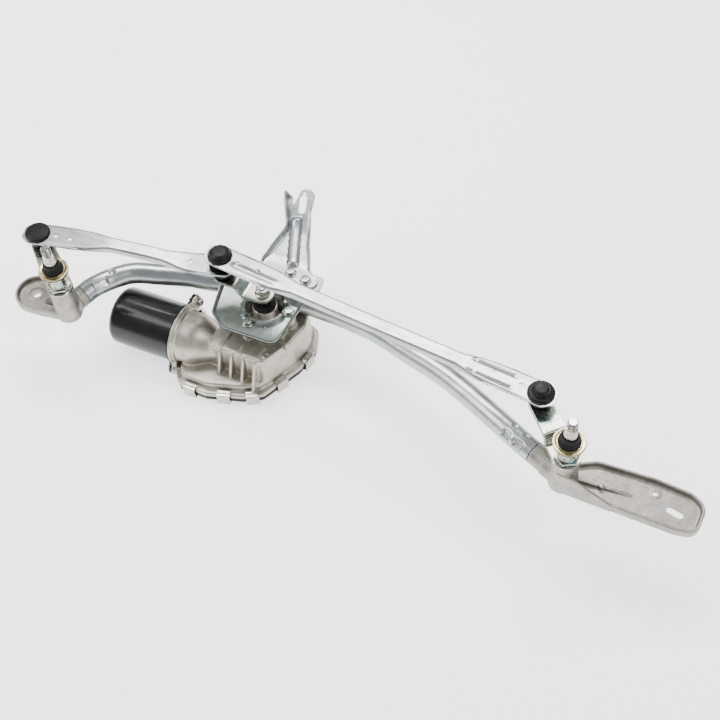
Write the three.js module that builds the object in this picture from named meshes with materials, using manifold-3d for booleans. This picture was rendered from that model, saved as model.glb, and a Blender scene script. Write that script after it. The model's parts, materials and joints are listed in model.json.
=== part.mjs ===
// Windshield wiper linkage with its gear motor, as fitted under a car's scuttle panel.
// Millimetres, +Z up along the wiper pivots, +X from the left pivot to the right one.
// Sizes are given from the motor's output axis, level with the top face of the motor plate.
// The finished part is moved so that its origin is on the seating face under the right arm.
import * as THREE from 'three';
import { mergeVertices } from 'three/addons/utils/BufferGeometryUtils.js';
import Module from 'manifold-3d';

const wasm = await Module();
wasm.setup();

// ---- Driving dimensions ---------------------------------------------------------------

// Clearances
const FIT = 0.3; // between two pieces that touch
const SPIGOT_FIT = 1.3; // between a straight spigot and the curved tube end around it

// Wiper pivots
const LEFT_PIVOT_X = -194.5;
const RIGHT_PIVOT_X = 355.5;
const PIVOT_Y = -81.5;
const SHAFT_RADIUS = 6.6;
const SHAFT_LENGTH = 107;
const SHAFT_FOOT_Z = -3;
const SPLINE_LENGTH = 11;
const TIP_RADIUS = 5;
const TIP_LENGTH = 10.5;
const BUSH_WALL = 2.1;

// Crank, levers and links
const CRANK_RADIUS = 44.3;
const CRANK_REST = 180; // degrees from +X
const LEFT_LEVER_RADIUS = 58.3;
const LEFT_LEVER_REST = 138.8;
const RIGHT_LEVER_RADIUS = 59.2;
const RIGHT_LEVER_REST = 133.7;
const BALL_RADIUS = 6.5;
const BALL_STEM_RADIUS = 4.2;
const LEVER_THICKNESS = 4;
const LEVER_RISE = 9;
const LEVER_EYE_RADIUS = 13.5;
const LEVER_END_RADIUS = 11;
const CRANK_THICKNESS = 3.5;
const CRANK_RISE = 10.5;
const LINK_THICKNESS = 2;
const LINK_END_HALF_WIDTH = 14;
const LINK_NECK_HALF_WIDTH = 9;
const LINK_FLANGE_DEPTH = 9;

// Levels
const HOUSING_TOP_Z = 39;
const NECK_Z = 8;
const CRANK_Z = 23; // underside of the crank at the output shaft
const LINK_TOP_Z = 67;
const COLLAR_Z = 68.4;

// Frame tube and castings
const TUBE_RADIUS = 11.7;
const TUBE_WALL = 1.6;
const TOWER_RADIUS = 13.4; // of the gear casing, around the output shaft
const SADDLE_CLEARANCE = 0.9; // between the tube and the tower in front of it
const SADDLE_Y = TOWER_RADIUS + SADDLE_CLEARANCE + TUBE_RADIUS;
const SADDLE_Z = -7.6;
const SADDLE_HALF_LENGTH = 32;
const LEFT_NECK_LENGTH = 22;
const LEFT_NECK_ANGLE = 70;
const RIGHT_NECK_LENGTH = 36.5;
const RIGHT_NECK_ANGLE = 156.6;
const BOSS_RADIUS = 14;
const BOSS_FOOT_Z = -5;
const ARM_FOOT_Z = -1;
const ARM_RIM_Z = 9.5;
const ARM_FLOOR = 4.6; // thickness of a casting's floor
const ARM_WALL = 2.8;

// Motor plate and rear arm
const PLATE_THICKNESS = 2.5;
const PLATE_HOLE_RADIUS = 19;
const PLATE_WALL = 2.2;
const REAR_ARM_THICKNESS = 2.5;
const BOLT_HEAD_RADIUS = 6.2;
const BOLT_HEAD_HEIGHT = 5;
const BOLT_SHANK_RADIUS = 3;

// Gear motor
const GEAR_AXIS_Z = -40; // level of the armature and of the worm wheel's middle
const WORM_RADIUS = 6.2;
const WHEEL_RADIUS = 32;
const WHEEL_THICKNESS = 10;
const WORM_MESH_GAP = 0.8;
const OUTPUT_SHAFT_RADIUS = 6;
const TOWER_TOP_Z = 6;
const DECK_CLEARANCE = 1.7; // between the tube and the casing's deck below it
const DECK_Z = SADDLE_Z - TUBE_RADIUS - DECK_CLEARANCE; // top of the gear casing beside the tower
const CASE_FOOT_Z = -68;
const CASE_FLANGE = 6;
const COVER_THICKNESS = 6;
const FLANGE_X = -87; // face of the casing that the yoke is bolted to
const YOKE_FLANGE = 6;
const YOKE_RADIUS = 32.3;
const YOKE_LENGTH = 76;
const YOKE_WALL = 2;

// ---- Values worked out from them ------------------------------------------------------

const LEVER_Z = HOUSING_TOP_Z + FIT;
const BALL_DROP = 7; // from a link's top face to the middle of its ball
const JOINT_STACK = 15; // between the two links that share the crank pin
const UPPER_BALL_Z = LINK_TOP_Z - BALL_DROP;
const LOWER_LINK_Z = LINK_TOP_Z - JOINT_STACK;
const LOWER_BALL_Z = LOWER_LINK_Z - BALL_DROP;
const BUSH_RADIUS = SHAFT_RADIUS + FIT + BUSH_WALL;
const TUBE_BORE = TUBE_RADIUS - TUBE_WALL;
const WORM_Y = -(WHEEL_RADIUS + WORM_MESH_GAP + WORM_RADIUS);

const leftPivot = new THREE.Vector2(LEFT_PIVOT_X, PIVOT_Y);
const rightPivot = new THREE.Vector2(RIGHT_PIVOT_X, PIVOT_Y);
const crankPin = polar(CRANK_RADIUS, CRANK_REST);
const leftBall = polar(LEFT_LEVER_RADIUS, LEFT_LEVER_REST).add(leftPivot);
const rightBall = polar(RIGHT_LEVER_RADIUS, RIGHT_LEVER_REST).add(rightPivot);

// ---- Finishes -------------------------------------------------------------------------

const FINISH = {
  galvanised: [0xbfc4c5, 0.38, 0.9],
  zinc: [0xb9c0b4, 0.3, 0.95],
  yellowZinc: [0xb9a878, 0.35, 0.9],
  dieCast: [0xa9a7a2, 0.6, 0.75],
  gearCase: [0xb8b4aa, 0.55, 0.75],
  plateSteel: [0xa7aea9, 0.45, 0.85],
  brightSteel: [0xd2d4d6, 0.25, 1],
  blackPaint: [0x151618, 0.35, 0.2],
  blackPlastic: [0x1b1b1d, 0.5, 0],
  rubber: [0x141414, 0.8, 0],
  bronze: [0x9c7a4a, 0.5, 0.8],
  nylon: [0xd9d3c0, 0.5, 0],
  ferrite: [0x3a3a3c, 0.8, 0.1],
  copper: [0xa8623a, 0.45, 0.8],
};

// ---- Geometry helpers -----------------------------------------------------------------

function polar(radius, degrees) {
  const angle = THREE.MathUtils.degToRad(degrees);
  return new THREE.Vector2(radius * Math.cos(angle), radius * Math.sin(angle));
}

/** A closed geometry as a solid that can be joined and cut. */
function solid(geometry) {
  const bare = geometry.clone();
  bare.deleteAttribute('normal');
  bare.deleteAttribute('uv');
  const merged = mergeVertices(bare, 1e-4);
  const triangles = [];
  const index = merged.index.array;
  for (let i = 0; i < index.length; i += 3) {
    const [a, b, c] = [index[i], index[i + 1], index[i + 2]];
    if (a !== b && b !== c && c !== a) triangles.push(a, b, c);
  }
  const vertProperties = new Float32Array(merged.attributes.position.array);
  return new wasm.Manifold(new wasm.Mesh({ numProp: 3, vertProperties,
    triVerts: new Uint32Array(triangles) }));
}

function geometryOf(body) {
  const mesh = body.getMesh();
  const geometry = new THREE.BufferGeometry();
  geometry.setAttribute('position', new THREE.BufferAttribute(new Float32Array(mesh.vertProperties), 3));
  geometry.setIndex(new THREE.BufferAttribute(new Uint32Array(mesh.triVerts), 1));
  geometry.computeVertexNormals();
  return geometry;
}

function piece(name, finish, body) {
  const [color, roughness, metalness] = FINISH[finish];
  const material = new THREE.MeshStandardMaterial({ color, roughness, metalness });
  const mesh = new THREE.Mesh(geometryOf(body), material);
  mesh.name = name;
  return mesh;
}

function joined(...bodies) {
  return bodies.reduce((sum, body) => sum.add(body));
}

function cutBy(body, ...tools) {
  return tools.reduce((rest, tool) => rest.subtract(tool), body);
}

/** A straight round bar along Z. */
function post(radius, z0, z1, at = { x: 0, y: 0 }, segments = 14) {
  const bar = new THREE.CylinderGeometry(radius, radius, z1 - z0, segments);
  bar.rotateX(Math.PI / 2);
  bar.translate(at.x, at.y, (z0 + z1) / 2);
  return solid(bar);
}

/** A body of revolution round Z from [radius, z] points that start and end on the axis or close. */
function turned(profile, at = { x: 0, y: 0 }, segments = 14) {
  const points = profile.map(([r, z]) => new THREE.Vector2(r, z));
  const body = new THREE.LatheGeometry(points, segments);
  body.rotateX(Math.PI / 2);
  body.translate(at.x, at.y, 0);
  return outward(solid(body), () => solid(flipped(body)));
}

function outward(body, turnedOver) {
  return body.volume() > 0 ? body : turnedOver();
}

function flipped(geometry) {
  const index = geometry.index.array.slice();
  for (let i = 0; i < index.length; i += 3) [index[i], index[i + 1]] = [index[i + 1], index[i]];
  const copy = geometry.clone();
  copy.setIndex(new THREE.BufferAttribute(index, 1));
  return copy;
}

function box(x0, x1, y0, y1, z0, z1) {
  const block = new THREE.BoxGeometry(x1 - x0, y1 - y0, z1 - z0);
  block.translate((x0 + x1) / 2, (y0 + y1) / 2, (z0 + z1) / 2);
  return solid(block);
}

/** A plan outline raised from z0 to z1. */
function slab(shape, z0, z1, curveSegments = 4) {
  const plate = new THREE.ExtrudeGeometry(shape, { depth: z1 - z0, bevelEnabled: false, curveSegments });
  plate.translate(0, 0, z0);
  return solid(plate);
}

/** An outline with rounded corners from [x, y, radius] points, taken counter-clockwise. */
function outline(corners) {
  const shape = new THREE.Shape();
  corners.forEach(([x, y, radius], i) => {
    const here = new THREE.Vector2(x, y);
    const before = corner(corners, i - 1).sub(here);
    const after = corner(corners, i + 1).sub(here);
    const reach = Math.min(radius, before.length() * 0.45, after.length() * 0.45);
    const start = before.setLength(reach).add(here);
    const end = after.setLength(reach).add(here);
    if (i === 0) shape.moveTo(start.x, start.y);
    else shape.lineTo(start.x, start.y);
    if (reach > 0) shape.quadraticCurveTo(x, y, end.x, end.y);
  });
  shape.closePath();
  return shape;
}

function corner(corners, i) {
  const [x, y] = corners[(i + corners.length) % corners.length];
  return new THREE.Vector2(x, y);
}

/** The outline of a strap that runs from one round end to another along X. */
function strap(radius0, x1, radius1, x0 = 0) {
  const tilt = Math.asin((radius0 - radius1) / (x1 - x0));
  const shape = new THREE.Shape();
  shape.absarc(x1, 0, radius1, -Math.PI / 2 + tilt, Math.PI / 2 - tilt, false);
  shape.absarc(x0, 0, radius0, Math.PI / 2 - tilt, 1.5 * Math.PI + tilt, false);
  shape.closePath();
  return shape;
}

/** A sheet whose top follows [x, z] points, as thick as asked and wide along Y. */
function foldedSheet(top, thickness, halfWidth) {
  const shape = new THREE.Shape();
  top.forEach(([x, z], i) => (i ? shape.lineTo(x, z) : shape.moveTo(x, z)));
  top.slice().reverse().forEach(([x, z]) => shape.lineTo(x, z - thickness));
  shape.closePath();
  const sheet = new THREE.ExtrudeGeometry(shape, { depth: 2 * halfWidth, bevelEnabled: false });
  sheet.rotateX(Math.PI / 2);
  sheet.translate(0, halfWidth, 0);
  return outward(solid(sheet), () => solid(flipped(indexed(sheet))));
}

function indexed(geometry) {
  return geometry.index ? geometry : mergeVertices(geometry);
}

/** A round bar between two points. */
function rod(radius, from, to, segments = 16) {
  const axis = to.clone().sub(from);
  const bar = new THREE.CylinderGeometry(radius, radius, axis.length(), segments);
  bar.applyQuaternion(new THREE.Quaternion().setFromUnitVectors(new THREE.Vector3(0, 1, 0),
    axis.clone().normalize()));
  const middle = from.clone().add(to).multiplyScalar(0.5);
  bar.translate(middle.x, middle.y, middle.z);
  return solid(bar);
}

function hexagon(acrossFlats) {
  const radius = acrossFlats / Math.sqrt(3);
  return new THREE.Shape(Array.from({ length: 6 }, (_, i) => polar(radius, 60 * i)));
}

function grouped(meshes, position = [0, 0, 0], degrees = 0) {
  const group = new THREE.Group();
  group.add(...meshes);
  group.position.set(...position);
  group.rotation.z = THREE.MathUtils.degToRad(degrees);
  return group;
}

// ---- Frame tube -----------------------------------------------------------------------

/** Where the tube starts beside a casting: the point and the direction that it leaves in. */
function tubeEnd(pivot, neckLength, neckAngle) {
  const along = polar(1, neckAngle);
  const at = pivot.clone().addScaledVector(along, neckLength);
  return {
    at: new THREE.Vector3(at.x, at.y, NECK_Z),
    along: new THREE.Vector3(along.x, along.y, 0),
  };
}

/** The bends between the saddle and one end, as shares of the way across, back and up. */
const LEFT_BENDS = [[0.19, 0, 0], [0.31, 0.09, 0.02], [0.46, 0.17, 0.24], [0.64, 0.3, 0.47],
  [0.82, 0.46, 0.75]];
const RIGHT_BENDS = [[0.15, 0, 0], [0.33, 0.07, 0.06], [0.48, 0.23, 0.26], [0.64, 0.41, 0.49],
  [0.85, 0.75, 0.79]];
const TUBE_END_STRAIGHT = 14;
const TUBE_STEPS = 32;
const TUBE_HALF_SIDES = 6; // flats in half a turn of the tube's section

function bendPoints(saddleX, end, bends) {
  const start = new THREE.Vector3(saddleX, SADDLE_Y, SADDLE_Z);
  const way = end.clone().sub(start);
  return bends.map(([across, back, up]) => new THREE.Vector3(across, back, up).multiply(way).add(start));
}

function tubeRoute() {
  const left = tubeEnd(leftPivot, LEFT_NECK_LENGTH, LEFT_NECK_ANGLE);
  const right = tubeEnd(rightPivot, RIGHT_NECK_LENGTH, RIGHT_NECK_ANGLE);
  const reach = SADDLE_HALF_LENGTH * 0.6;
  return new THREE.CatmullRomCurve3([
    left.at,
    left.at.clone().addScaledVector(left.along, TUBE_END_STRAIGHT),
    ...bendPoints(-reach, left.at, LEFT_BENDS).reverse(),
    new THREE.Vector3(-reach, SADDLE_Y, SADDLE_Z),
    new THREE.Vector3(reach, SADDLE_Y, SADDLE_Z),
    ...bendPoints(reach, right.at, RIGHT_BENDS),
    right.at.clone().addScaledVector(right.along, TUBE_END_STRAIGHT),
    right.at,
  ]);
}

/** A round section, hollow if a bore is given, swept along the tube's route. */
function swept(radius, bore) {
  const section = new THREE.Shape();
  section.absarc(0, 0, radius, 0, 2 * Math.PI, false);
  if (bore) {
    const hollow = new THREE.Path();
    hollow.absarc(0, 0, bore, 0, 2 * Math.PI, true);
    section.holes.push(hollow);
  }
  const route = tubeRoute();
  const options = { steps: TUBE_STEPS, extrudePath: route, curveSegments: TUBE_HALF_SIDES,
    bevelEnabled: false };
  return solid(new THREE.ExtrudeGeometry(section, options));
}

function frameTube() {
  return grouped([piece('frame_tube', 'galvanised', swept(TUBE_RADIUS, TUBE_BORE))]);
}

// ---- Pivot housings -------------------------------------------------------------------

const BUSH_SEAT_Z = 4;
const CIRCLIP_RECESS_Z = 2;

/** The upright boss with its bore, before an arm or a neck is joined to it. */
function bossBore() {
  const wide = post(BUSH_RADIUS + FIT, BUSH_SEAT_Z, HOUSING_TOP_Z + 1);
  const shaftHole = post(SHAFT_RADIUS + 2 * FIT, BOSS_FOOT_Z - 1, BUSH_SEAT_Z + 1);
  const recess = post(BUSH_RADIUS + 1, BOSS_FOOT_Z - 1, CIRCLIP_RECESS_Z);
  return joined(wide, shaftHole, recess);
}

function neck(length, angle) {
  const along = polar(1, angle);
  const at = (distance) => new THREE.Vector3(along.x * distance, along.y * distance, NECK_Z);
  const sleeve = rod(TUBE_RADIUS, at(0), at(length - 2 * FIT));
  const spigot = rod(TUBE_BORE - SPIGOT_FIT, at(length - 4), at(length + 8));
  return joined(sleeve, spigot);
}

function boss() {
  const waist = BOSS_RADIUS - 1;
  return turned([
    [0, BOSS_FOOT_Z], [waist, BOSS_FOOT_Z], [BOSS_RADIUS, BOSS_FOOT_Z + 2],
    [BOSS_RADIUS, ARM_RIM_Z], [waist, HOUSING_TOP_Z - 6], [waist, HOUSING_TOP_Z], [0, HOUSING_TOP_Z],
  ]);
}

/** A cast arm: a floor with a raised rim round it. */
function castArm(outer, inner) {
  const block = slab(outer, ARM_FOOT_Z, ARM_RIM_Z);
  return block.subtract(slab(inner, ARM_FOOT_Z + ARM_FLOOR, ARM_RIM_Z + 1));
}

const LEFT_EAR = { x: -43, y: 4.5, radius: 22.5, hole: 4.6 };
const RIGHT_ARM = { reach: 134, front: -17, back: 29, slotX: 107.5, slotHalf: 4, slotRadius: 3.6,
  seatY: -9 };

function leftHousing() {
  const ear = (inset) => {
    const radius = LEFT_EAR.radius - inset;
    const side = BOSS_RADIUS - inset;
    return outline([
      [0, side, 2], [LEFT_EAR.x + 8, LEFT_EAR.y + radius, 14], [LEFT_EAR.x - radius,
        LEFT_EAR.y + radius, 22],
      [LEFT_EAR.x - radius, LEFT_EAR.y - radius, 22], [LEFT_EAR.x + 10, LEFT_EAR.y - radius, 14], [0,
        -side, 2],
    ]);
  };
  const hole = post(LEFT_EAR.hole, ARM_FOOT_Z - 1, ARM_RIM_Z + 1, LEFT_EAR);
  const body = joined(castArm(ear(0), ear(ARM_WALL)), boss(), neck(LEFT_NECK_LENGTH, LEFT_NECK_ANGLE));
  return piece('left_pivot_housing', 'dieCast', cutBy(body, bossBore(), hole));
}

function rightHousing() {
  const arm = (inset) => outline([
    [0, BOSS_RADIUS - inset, 2], [32, RIGHT_ARM.back + 1 - inset, 16], [RIGHT_ARM.reach - 22,
      RIGHT_ARM.back - 1 - inset, 20],
    [RIGHT_ARM.reach - inset, RIGHT_ARM.back - 6 - inset, 18], [RIGHT_ARM.reach - inset,
      RIGHT_ARM.front + inset, 20],
    [30, RIGHT_ARM.front + 3 + inset, 20], [0, -BOSS_RADIUS + inset, 2],
  ]);
  const slot = slab(strap(RIGHT_ARM.slotRadius, 2 * RIGHT_ARM.slotHalf, RIGHT_ARM.slotRadius), -9, 9)
    .rotate([0, 0, -12]).translate([RIGHT_ARM.slotX - RIGHT_ARM.slotHalf, 4.5, 5]);
  const hole = post(3.6, ARM_FOOT_Z - 1, ARM_RIM_Z, { x: 85.5, y: 17 }, 12);
  const rib = box(8, 64, -1.2, 1.2, ARM_FOOT_Z + 1, ARM_RIM_Z - 2).rotate([0, 0, 5]);
  const body = joined(castArm(arm(0), arm(ARM_WALL)), boss(), neck(RIGHT_NECK_LENGTH,
    RIGHT_NECK_ANGLE), rib);
  return piece('right_pivot_housing', 'dieCast', cutBy(body, bossBore(), slot, hole));
}

function pivotBush(name) {
  const ring = cutBy(post(BUSH_RADIUS, BUSH_SEAT_Z + FIT, HOUSING_TOP_Z), post(SHAFT_RADIUS + FIT, 0,
    HOUSING_TOP_Z + 1));
  return piece(name, 'bronze', ring);
}

// ---- Levers with their shafts ---------------------------------------------------------

const CLIP_GROOVE = { z: -1.6, depth: 1.1, height: 1.4 };

function shaft(name) {
  const top = SHAFT_FOOT_Z + SHAFT_LENGTH;
  const tipZ = top - TIP_LENGTH;
  const splineZ = tipZ - SPLINE_LENGTH;
  const groove = SHAFT_RADIUS - CLIP_GROOVE.depth;
  const grooveTop = CLIP_GROOVE.z + CLIP_GROOVE.height;
  return piece(name, 'brightSteel', turned([
    [0, SHAFT_FOOT_Z], [SHAFT_RADIUS - 0.6, SHAFT_FOOT_Z], [SHAFT_RADIUS, CLIP_GROOVE.z - 0.6],
    [SHAFT_RADIUS, CLIP_GROOVE.z], [groove, CLIP_GROOVE.z], [groove, grooveTop], [SHAFT_RADIUS, grooveTop],
    [SHAFT_RADIUS, splineZ], [TIP_RADIUS + 0.3, tipZ], [TIP_RADIUS, tipZ],
    [TIP_RADIUS, top - 1], [TIP_RADIUS - 1, top], [0, top],
  ]));
}

function circlip(name) {
  const z0 = CLIP_GROOVE.z + FIT;
  const z1 = CLIP_GROOVE.z + CLIP_GROOVE.height - FIT;
  const hole = SHAFT_RADIUS - CLIP_GROOVE.depth + FIT;
  const ring = cutBy(post(SHAFT_RADIUS + 2.4, z0, z1), post(hole, z0 - 1, z1 + 1), box(0, 20, -2.5,
    2.5, z0 - 1, z1 + 1));
  return piece(name, 'brightSteel', ring);
}

function lever(name, radius) {
  const rise = LEVER_RISE;
  const foldX = LEVER_EYE_RADIUS + 4;
  const low = LEVER_Z + LEVER_THICKNESS;
  const reach = radius + LEVER_END_RADIUS + 1;
  const sheet = foldedSheet(
    [[-LEVER_EYE_RADIUS - 1, low], [foldX, low], [foldX + 7, low + rise], [reach, low + rise]],
    LEVER_THICKNESS, 2 * LEVER_EYE_RADIUS,
  );
  const plan = slab(strap(LEVER_EYE_RADIUS, radius, LEVER_END_RADIUS), LEVER_Z - 1, low + rise + 1);
  const eye = post(SHAFT_RADIUS + FIT, 0, 99);
  const pinHole = post(BALL_STEM_RADIUS + FIT, 0, 99, { x: radius, y: 0 }, 14);
  return piece(name, 'zinc', cutBy(sheet.intersect(plan), eye, pinHole));
}

/** A pin riveted into a plate at z0, with its ball above. */
function ballPin(name, plateZ, plateThickness, ballZ, at) {
  const head = BALL_STEM_RADIUS + 2;
  const low = plateZ - FIT;
  const ring = plateZ + plateThickness + FIT;
  const ball = Array.from({ length: 7 }, (_, i) => {
    const angle = -Math.acos(BALL_STEM_RADIUS / BALL_RADIUS) + 0.02 + i * 0.38;
    return [BALL_RADIUS * Math.cos(angle), ballZ + BALL_RADIUS * Math.sin(angle)];
  }).filter(([r]) => r > 0.5);
  return piece(name, 'brightSteel', turned([
    [0, low - 1.6], [head - 1, low - 1.6], [head, low], [BALL_STEM_RADIUS, low], [BALL_STEM_RADIUS, ring],
    [head, ring], [head, ring + 0.8], [BALL_STEM_RADIUS, ring + 0.8],
    ...ball, [0, ballZ + BALL_RADIUS],
  ], at, 14));
}

function sleeve(name) {
  const low = LEVER_Z + LEVER_THICKNESS + FIT;
  const body = turned([
    [0, low], [11.2, low], [11.2, low + 3], [8.6, low + 4.5], [8.6, COLLAR_Z - 2.6], [0, COLLAR_Z - 2.6],
  ]);
  return piece(name, 'zinc', body.subtract(post(SHAFT_RADIUS + FIT, low - 1, COLLAR_Z)));
}

/** The sprung disc that carries the panel seal, and the rubber lip under its edge. */
function collar(name, finish, radius, z0, z1) {
  return piece(name, finish, post(radius, z0, z1, undefined, 24).subtract(post(SHAFT_RADIUS + FIT,
    z0 - 1, z1 + 1)));
}

function sealCone(name) {
  const z0 = COLLAR_Z + 2.4 + FIT;
  const body = turned([[0, z0], [11, z0], [11, z0 + 3], [8.4, z0 + 5], [8.4, z0 + 10.5], [0, z0 + 10.5]]);
  return piece(name, 'rubber', body.subtract(post(SHAFT_RADIUS + FIT, z0 - 1, z0 + 12)));
}

function leverAssembly(side, pivot, radius, degrees) {
  const COLLAR_RADIUS = 15.7;
  return grouped([
    lever(`${side}_lever`, radius),
    ballPin(`${side}_lever_ball`, LEVER_Z + LEVER_RISE, LEVER_THICKNESS, UPPER_BALL_Z, { x: radius, y: 0 }),
    shaft(`${side}_wiper_shaft`),
    circlip(`${side}_circlip`),
    sleeve(`${side}_shaft_sleeve`),
    collar(`${side}_collar`, 'yellowZinc', COLLAR_RADIUS, COLLAR_Z, COLLAR_Z + 2.4),
    collar(`${side}_collar_seal`, 'rubber', COLLAR_RADIUS - 0.5, COLLAR_Z - 2.6 + FIT, COLLAR_Z - FIT),
    sealCone(`${side}_seal_cone`),
  ], [pivot.x, pivot.y, 0], degrees);
}

// ---- Links ----------------------------------------------------------------------------

const SOCKET_RADIUS = 11;
const SOCKET_THROAT = 8.8; // radius where the socket passes through a link
const SOCKET_CAP = 13.4;

/** A moulded ball socket that is snapped into a link whose top face is at z. */
function socket(name, z, x, capped) {
  const ballZ = z - BALL_DROP;
  const hollow = BALL_RADIUS + 2 * FIT; // its flats stay clear of the ball
  const mouth = -0.72; // sine of the hollow's lower edge
  const start = Math.asin(mouth);
  const stop = capped ? Math.PI / 2 : Math.acos((BALL_STEM_RADIUS + 2 * FIT) / hollow);
  const wall = Array.from({ length: 6 }, (_, i) => {
    const angle = start + (stop - start) * (i / 5);
    return [Math.max(0, hollow * Math.cos(angle)), ballZ + hollow * Math.sin(angle)];
  });
  if (capped) wall[5][0] = 0;
  const foot = ballZ + hollow * mouth - 0.8;
  const shelf = z + FIT;
  const under = z - LINK_THICKNESS - FIT;
  const skirt = [[SOCKET_CAP, shelf], [SOCKET_THROAT, shelf], [SOCKET_THROAT, under], [SOCKET_RADIUS,
    under],
    [SOCKET_RADIUS, foot + 3], [SOCKET_RADIUS - 1.5, foot], [wall[0][0], foot]];
  const dome = [[0, z + 9], [7.6, z + 9], [8.6, z + 7.5], [8.6, z + 4], [12.8, z + 3.4]];
  const low = [[wall[5][0], z + 1], [SOCKET_CAP - 1, z + 1]];
  const profile = [...(capped ? dome : low), ...skirt, ...wall];
  if (!capped) profile.push(low[0]);
  return piece(name, 'blackPlastic', turned(profile, { x, y: 0 }, 14));
}

/** A pressed link: a plate that follows `top`, waisted between its ends, with both edges folded down. */
function pressedLink(name, length, top, waist, holes) {
  const half = LINK_END_HALF_WIDTH;
  const narrow = LINK_NECK_HALF_WIDTH;
  const tail = 16;
  const plan = (inset) => {
    const side = (sign) => [
      [-tail + inset, sign * (half - 7 - inset), 4], [-tail + 9, sign * (half - inset), 5],
      [waist[0] - 12, sign * (half - inset), 12], [waist[0] + 12, sign * (narrow - inset), 12],
      [waist[1] - 12, sign * (narrow - inset), 12], [waist[1] + 12, sign * (half - inset), 12],
      [length + tail - 9, sign * (half - inset), 5], [length + tail - inset, sign * (half - 7 - inset), 4],
    ];
    return outline([...side(-1), ...side(1).reverse()]);
  };
  const whole = slab(plan(0), -200, 200);
  const plate = foldedSheet(top, LINK_THICKNESS, half + 1).intersect(whole);
  const deep = foldedSheet(top, LINK_FLANGE_DEPTH,
    half + 1).intersect(whole.subtract(slab(plan(LINK_THICKNESS), -201, 201)));
  const reach = box(waist[0] - 6, waist[1] + 6, -half - 1, half + 1, -200, 200);
  const eyes = [0, length].map((x) => post(SOCKET_THROAT + FIT, -200, 200, { x, y: 0 }));
  const dots = holes.map(([x, y]) => post(1.6, -200, 200, { x, y }, 10));
  return piece(name, 'galvanised', cutBy(plate.add(deep.intersect(reach)), ...eyes, ...dots));
}

function crankBall(name, ballZ, footZ, headZ) {
  const stem = BALL_STEM_RADIUS;
  const lowest = Math.acos(stem / BALL_RADIUS);
  const closed = headZ <= ballZ + BALL_RADIUS;
  const stop = closed ? Math.PI / 2 : lowest;
  const ball = Array.from({ length: 7 }, (_, i) => {
    const angle = -lowest + (stop + lowest) * (i / 6);
    return [Math.max(0, BALL_RADIUS * Math.cos(angle)), ballZ + BALL_RADIUS * Math.sin(angle)];
  });
  const head = closed ? [] : [[stem, headZ], [0, headZ]];
  if (closed) ball[6][0] = 0;
  return piece(name, 'brightSteel', turned([[0, footZ], [stem, footZ], ...ball, ...head], undefined, 14));
}

function leftLinkAssembly() {
  const way = leftBall.clone().sub(crankPin);
  const length = way.length();
  const drop = JOINT_STACK;
  const top = [
    [-17, LOWER_LINK_Z], [length * 0.2, LOWER_LINK_Z], [length * 0.4, LOWER_LINK_Z + drop * 0.62],
    [length * 0.6, LOWER_LINK_Z + drop], [length + 17, LOWER_LINK_Z + drop],
  ];
  return grouped([
    pressedLink('left_link', length, top, [50, length - 68], [[34, 0], [length - 20, 0], [length - 36, 2]]),
    socket('left_link_inner_socket', LOWER_LINK_Z, 0, false),
    socket('left_link_outer_socket', LINK_TOP_Z, length, true),
    crankBall('lower_crank_ball', LOWER_BALL_Z, crankTopZ() + 2 * FIT, LOWER_LINK_Z + 1.2),
  ], [crankPin.x, crankPin.y, 0], THREE.MathUtils.radToDeg(way.angle()));
}

function rightLinkAssembly() {
  const way = rightBall.clone().sub(crankPin);
  const length = way.length();
  const top = [[-17, LINK_TOP_Z], [length + 17, LINK_TOP_Z]];
  return grouped([
    pressedLink('right_link', length, top, [78, length - 74], [[21, 0], [46, 1], [length - 20, 0],
      [length - 48, 2]]),
    socket('right_link_inner_socket', LINK_TOP_Z, 0, true),
    socket('right_link_outer_socket', LINK_TOP_Z, length, true),
    crankBall('upper_crank_ball', UPPER_BALL_Z, LOWER_LINK_Z + 1.2 + FIT, UPPER_BALL_Z),
  ], [crankPin.x, crankPin.y, 0], THREE.MathUtils.radToDeg(way.angle()));
}

// ---- Crank ----------------------------------------------------------------------------

const CRANK_PIN_RADIUS = 5.2;
const NUT_ACROSS_FLATS = 13;
const THREAD_RADIUS = 4;

function crankTopZ() {
  return CRANK_Z + CRANK_THICKNESS + CRANK_RISE;
}

function crankArm() {
  const low = CRANK_Z + CRANK_THICKNESS;
  const bend = CRANK_RADIUS * 0.42;
  const sheet = foldedSheet(
    [[-14, low], [bend, low], [bend + 9, low + CRANK_RISE], [CRANK_RADIUS + 14, low + CRANK_RISE]],
    CRANK_THICKNESS, 16,
  );
  const plan = slab(strap(12.5, CRANK_RADIUS, 11.5), CRANK_Z - 1, low + CRANK_RISE + 1);
  const bore = post(OUTPUT_SHAFT_RADIUS - 1 + FIT, 0, 99, undefined, 20);
  const pinHole = post(CRANK_PIN_RADIUS + FIT, 0, 99, { x: CRANK_RADIUS, y: 0 }, 20);
  return piece('crank_arm', 'zinc', cutBy(sheet.intersect(plan), bore, pinHole));
}

function crankPinStub() {
  const plateZ = CRANK_Z + CRANK_RISE;
  const head = CRANK_PIN_RADIUS + 1.8;
  return piece('crank_pin', 'brightSteel', turned([
    [0, plateZ - 2], [head - 1, plateZ - 2], [head, plateZ - FIT], [CRANK_PIN_RADIUS, plateZ - FIT],
    [CRANK_PIN_RADIUS, crankTopZ() + FIT], [0, crankTopZ() + FIT],
  ], { x: CRANK_RADIUS, y: 0 }, 20));
}

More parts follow.
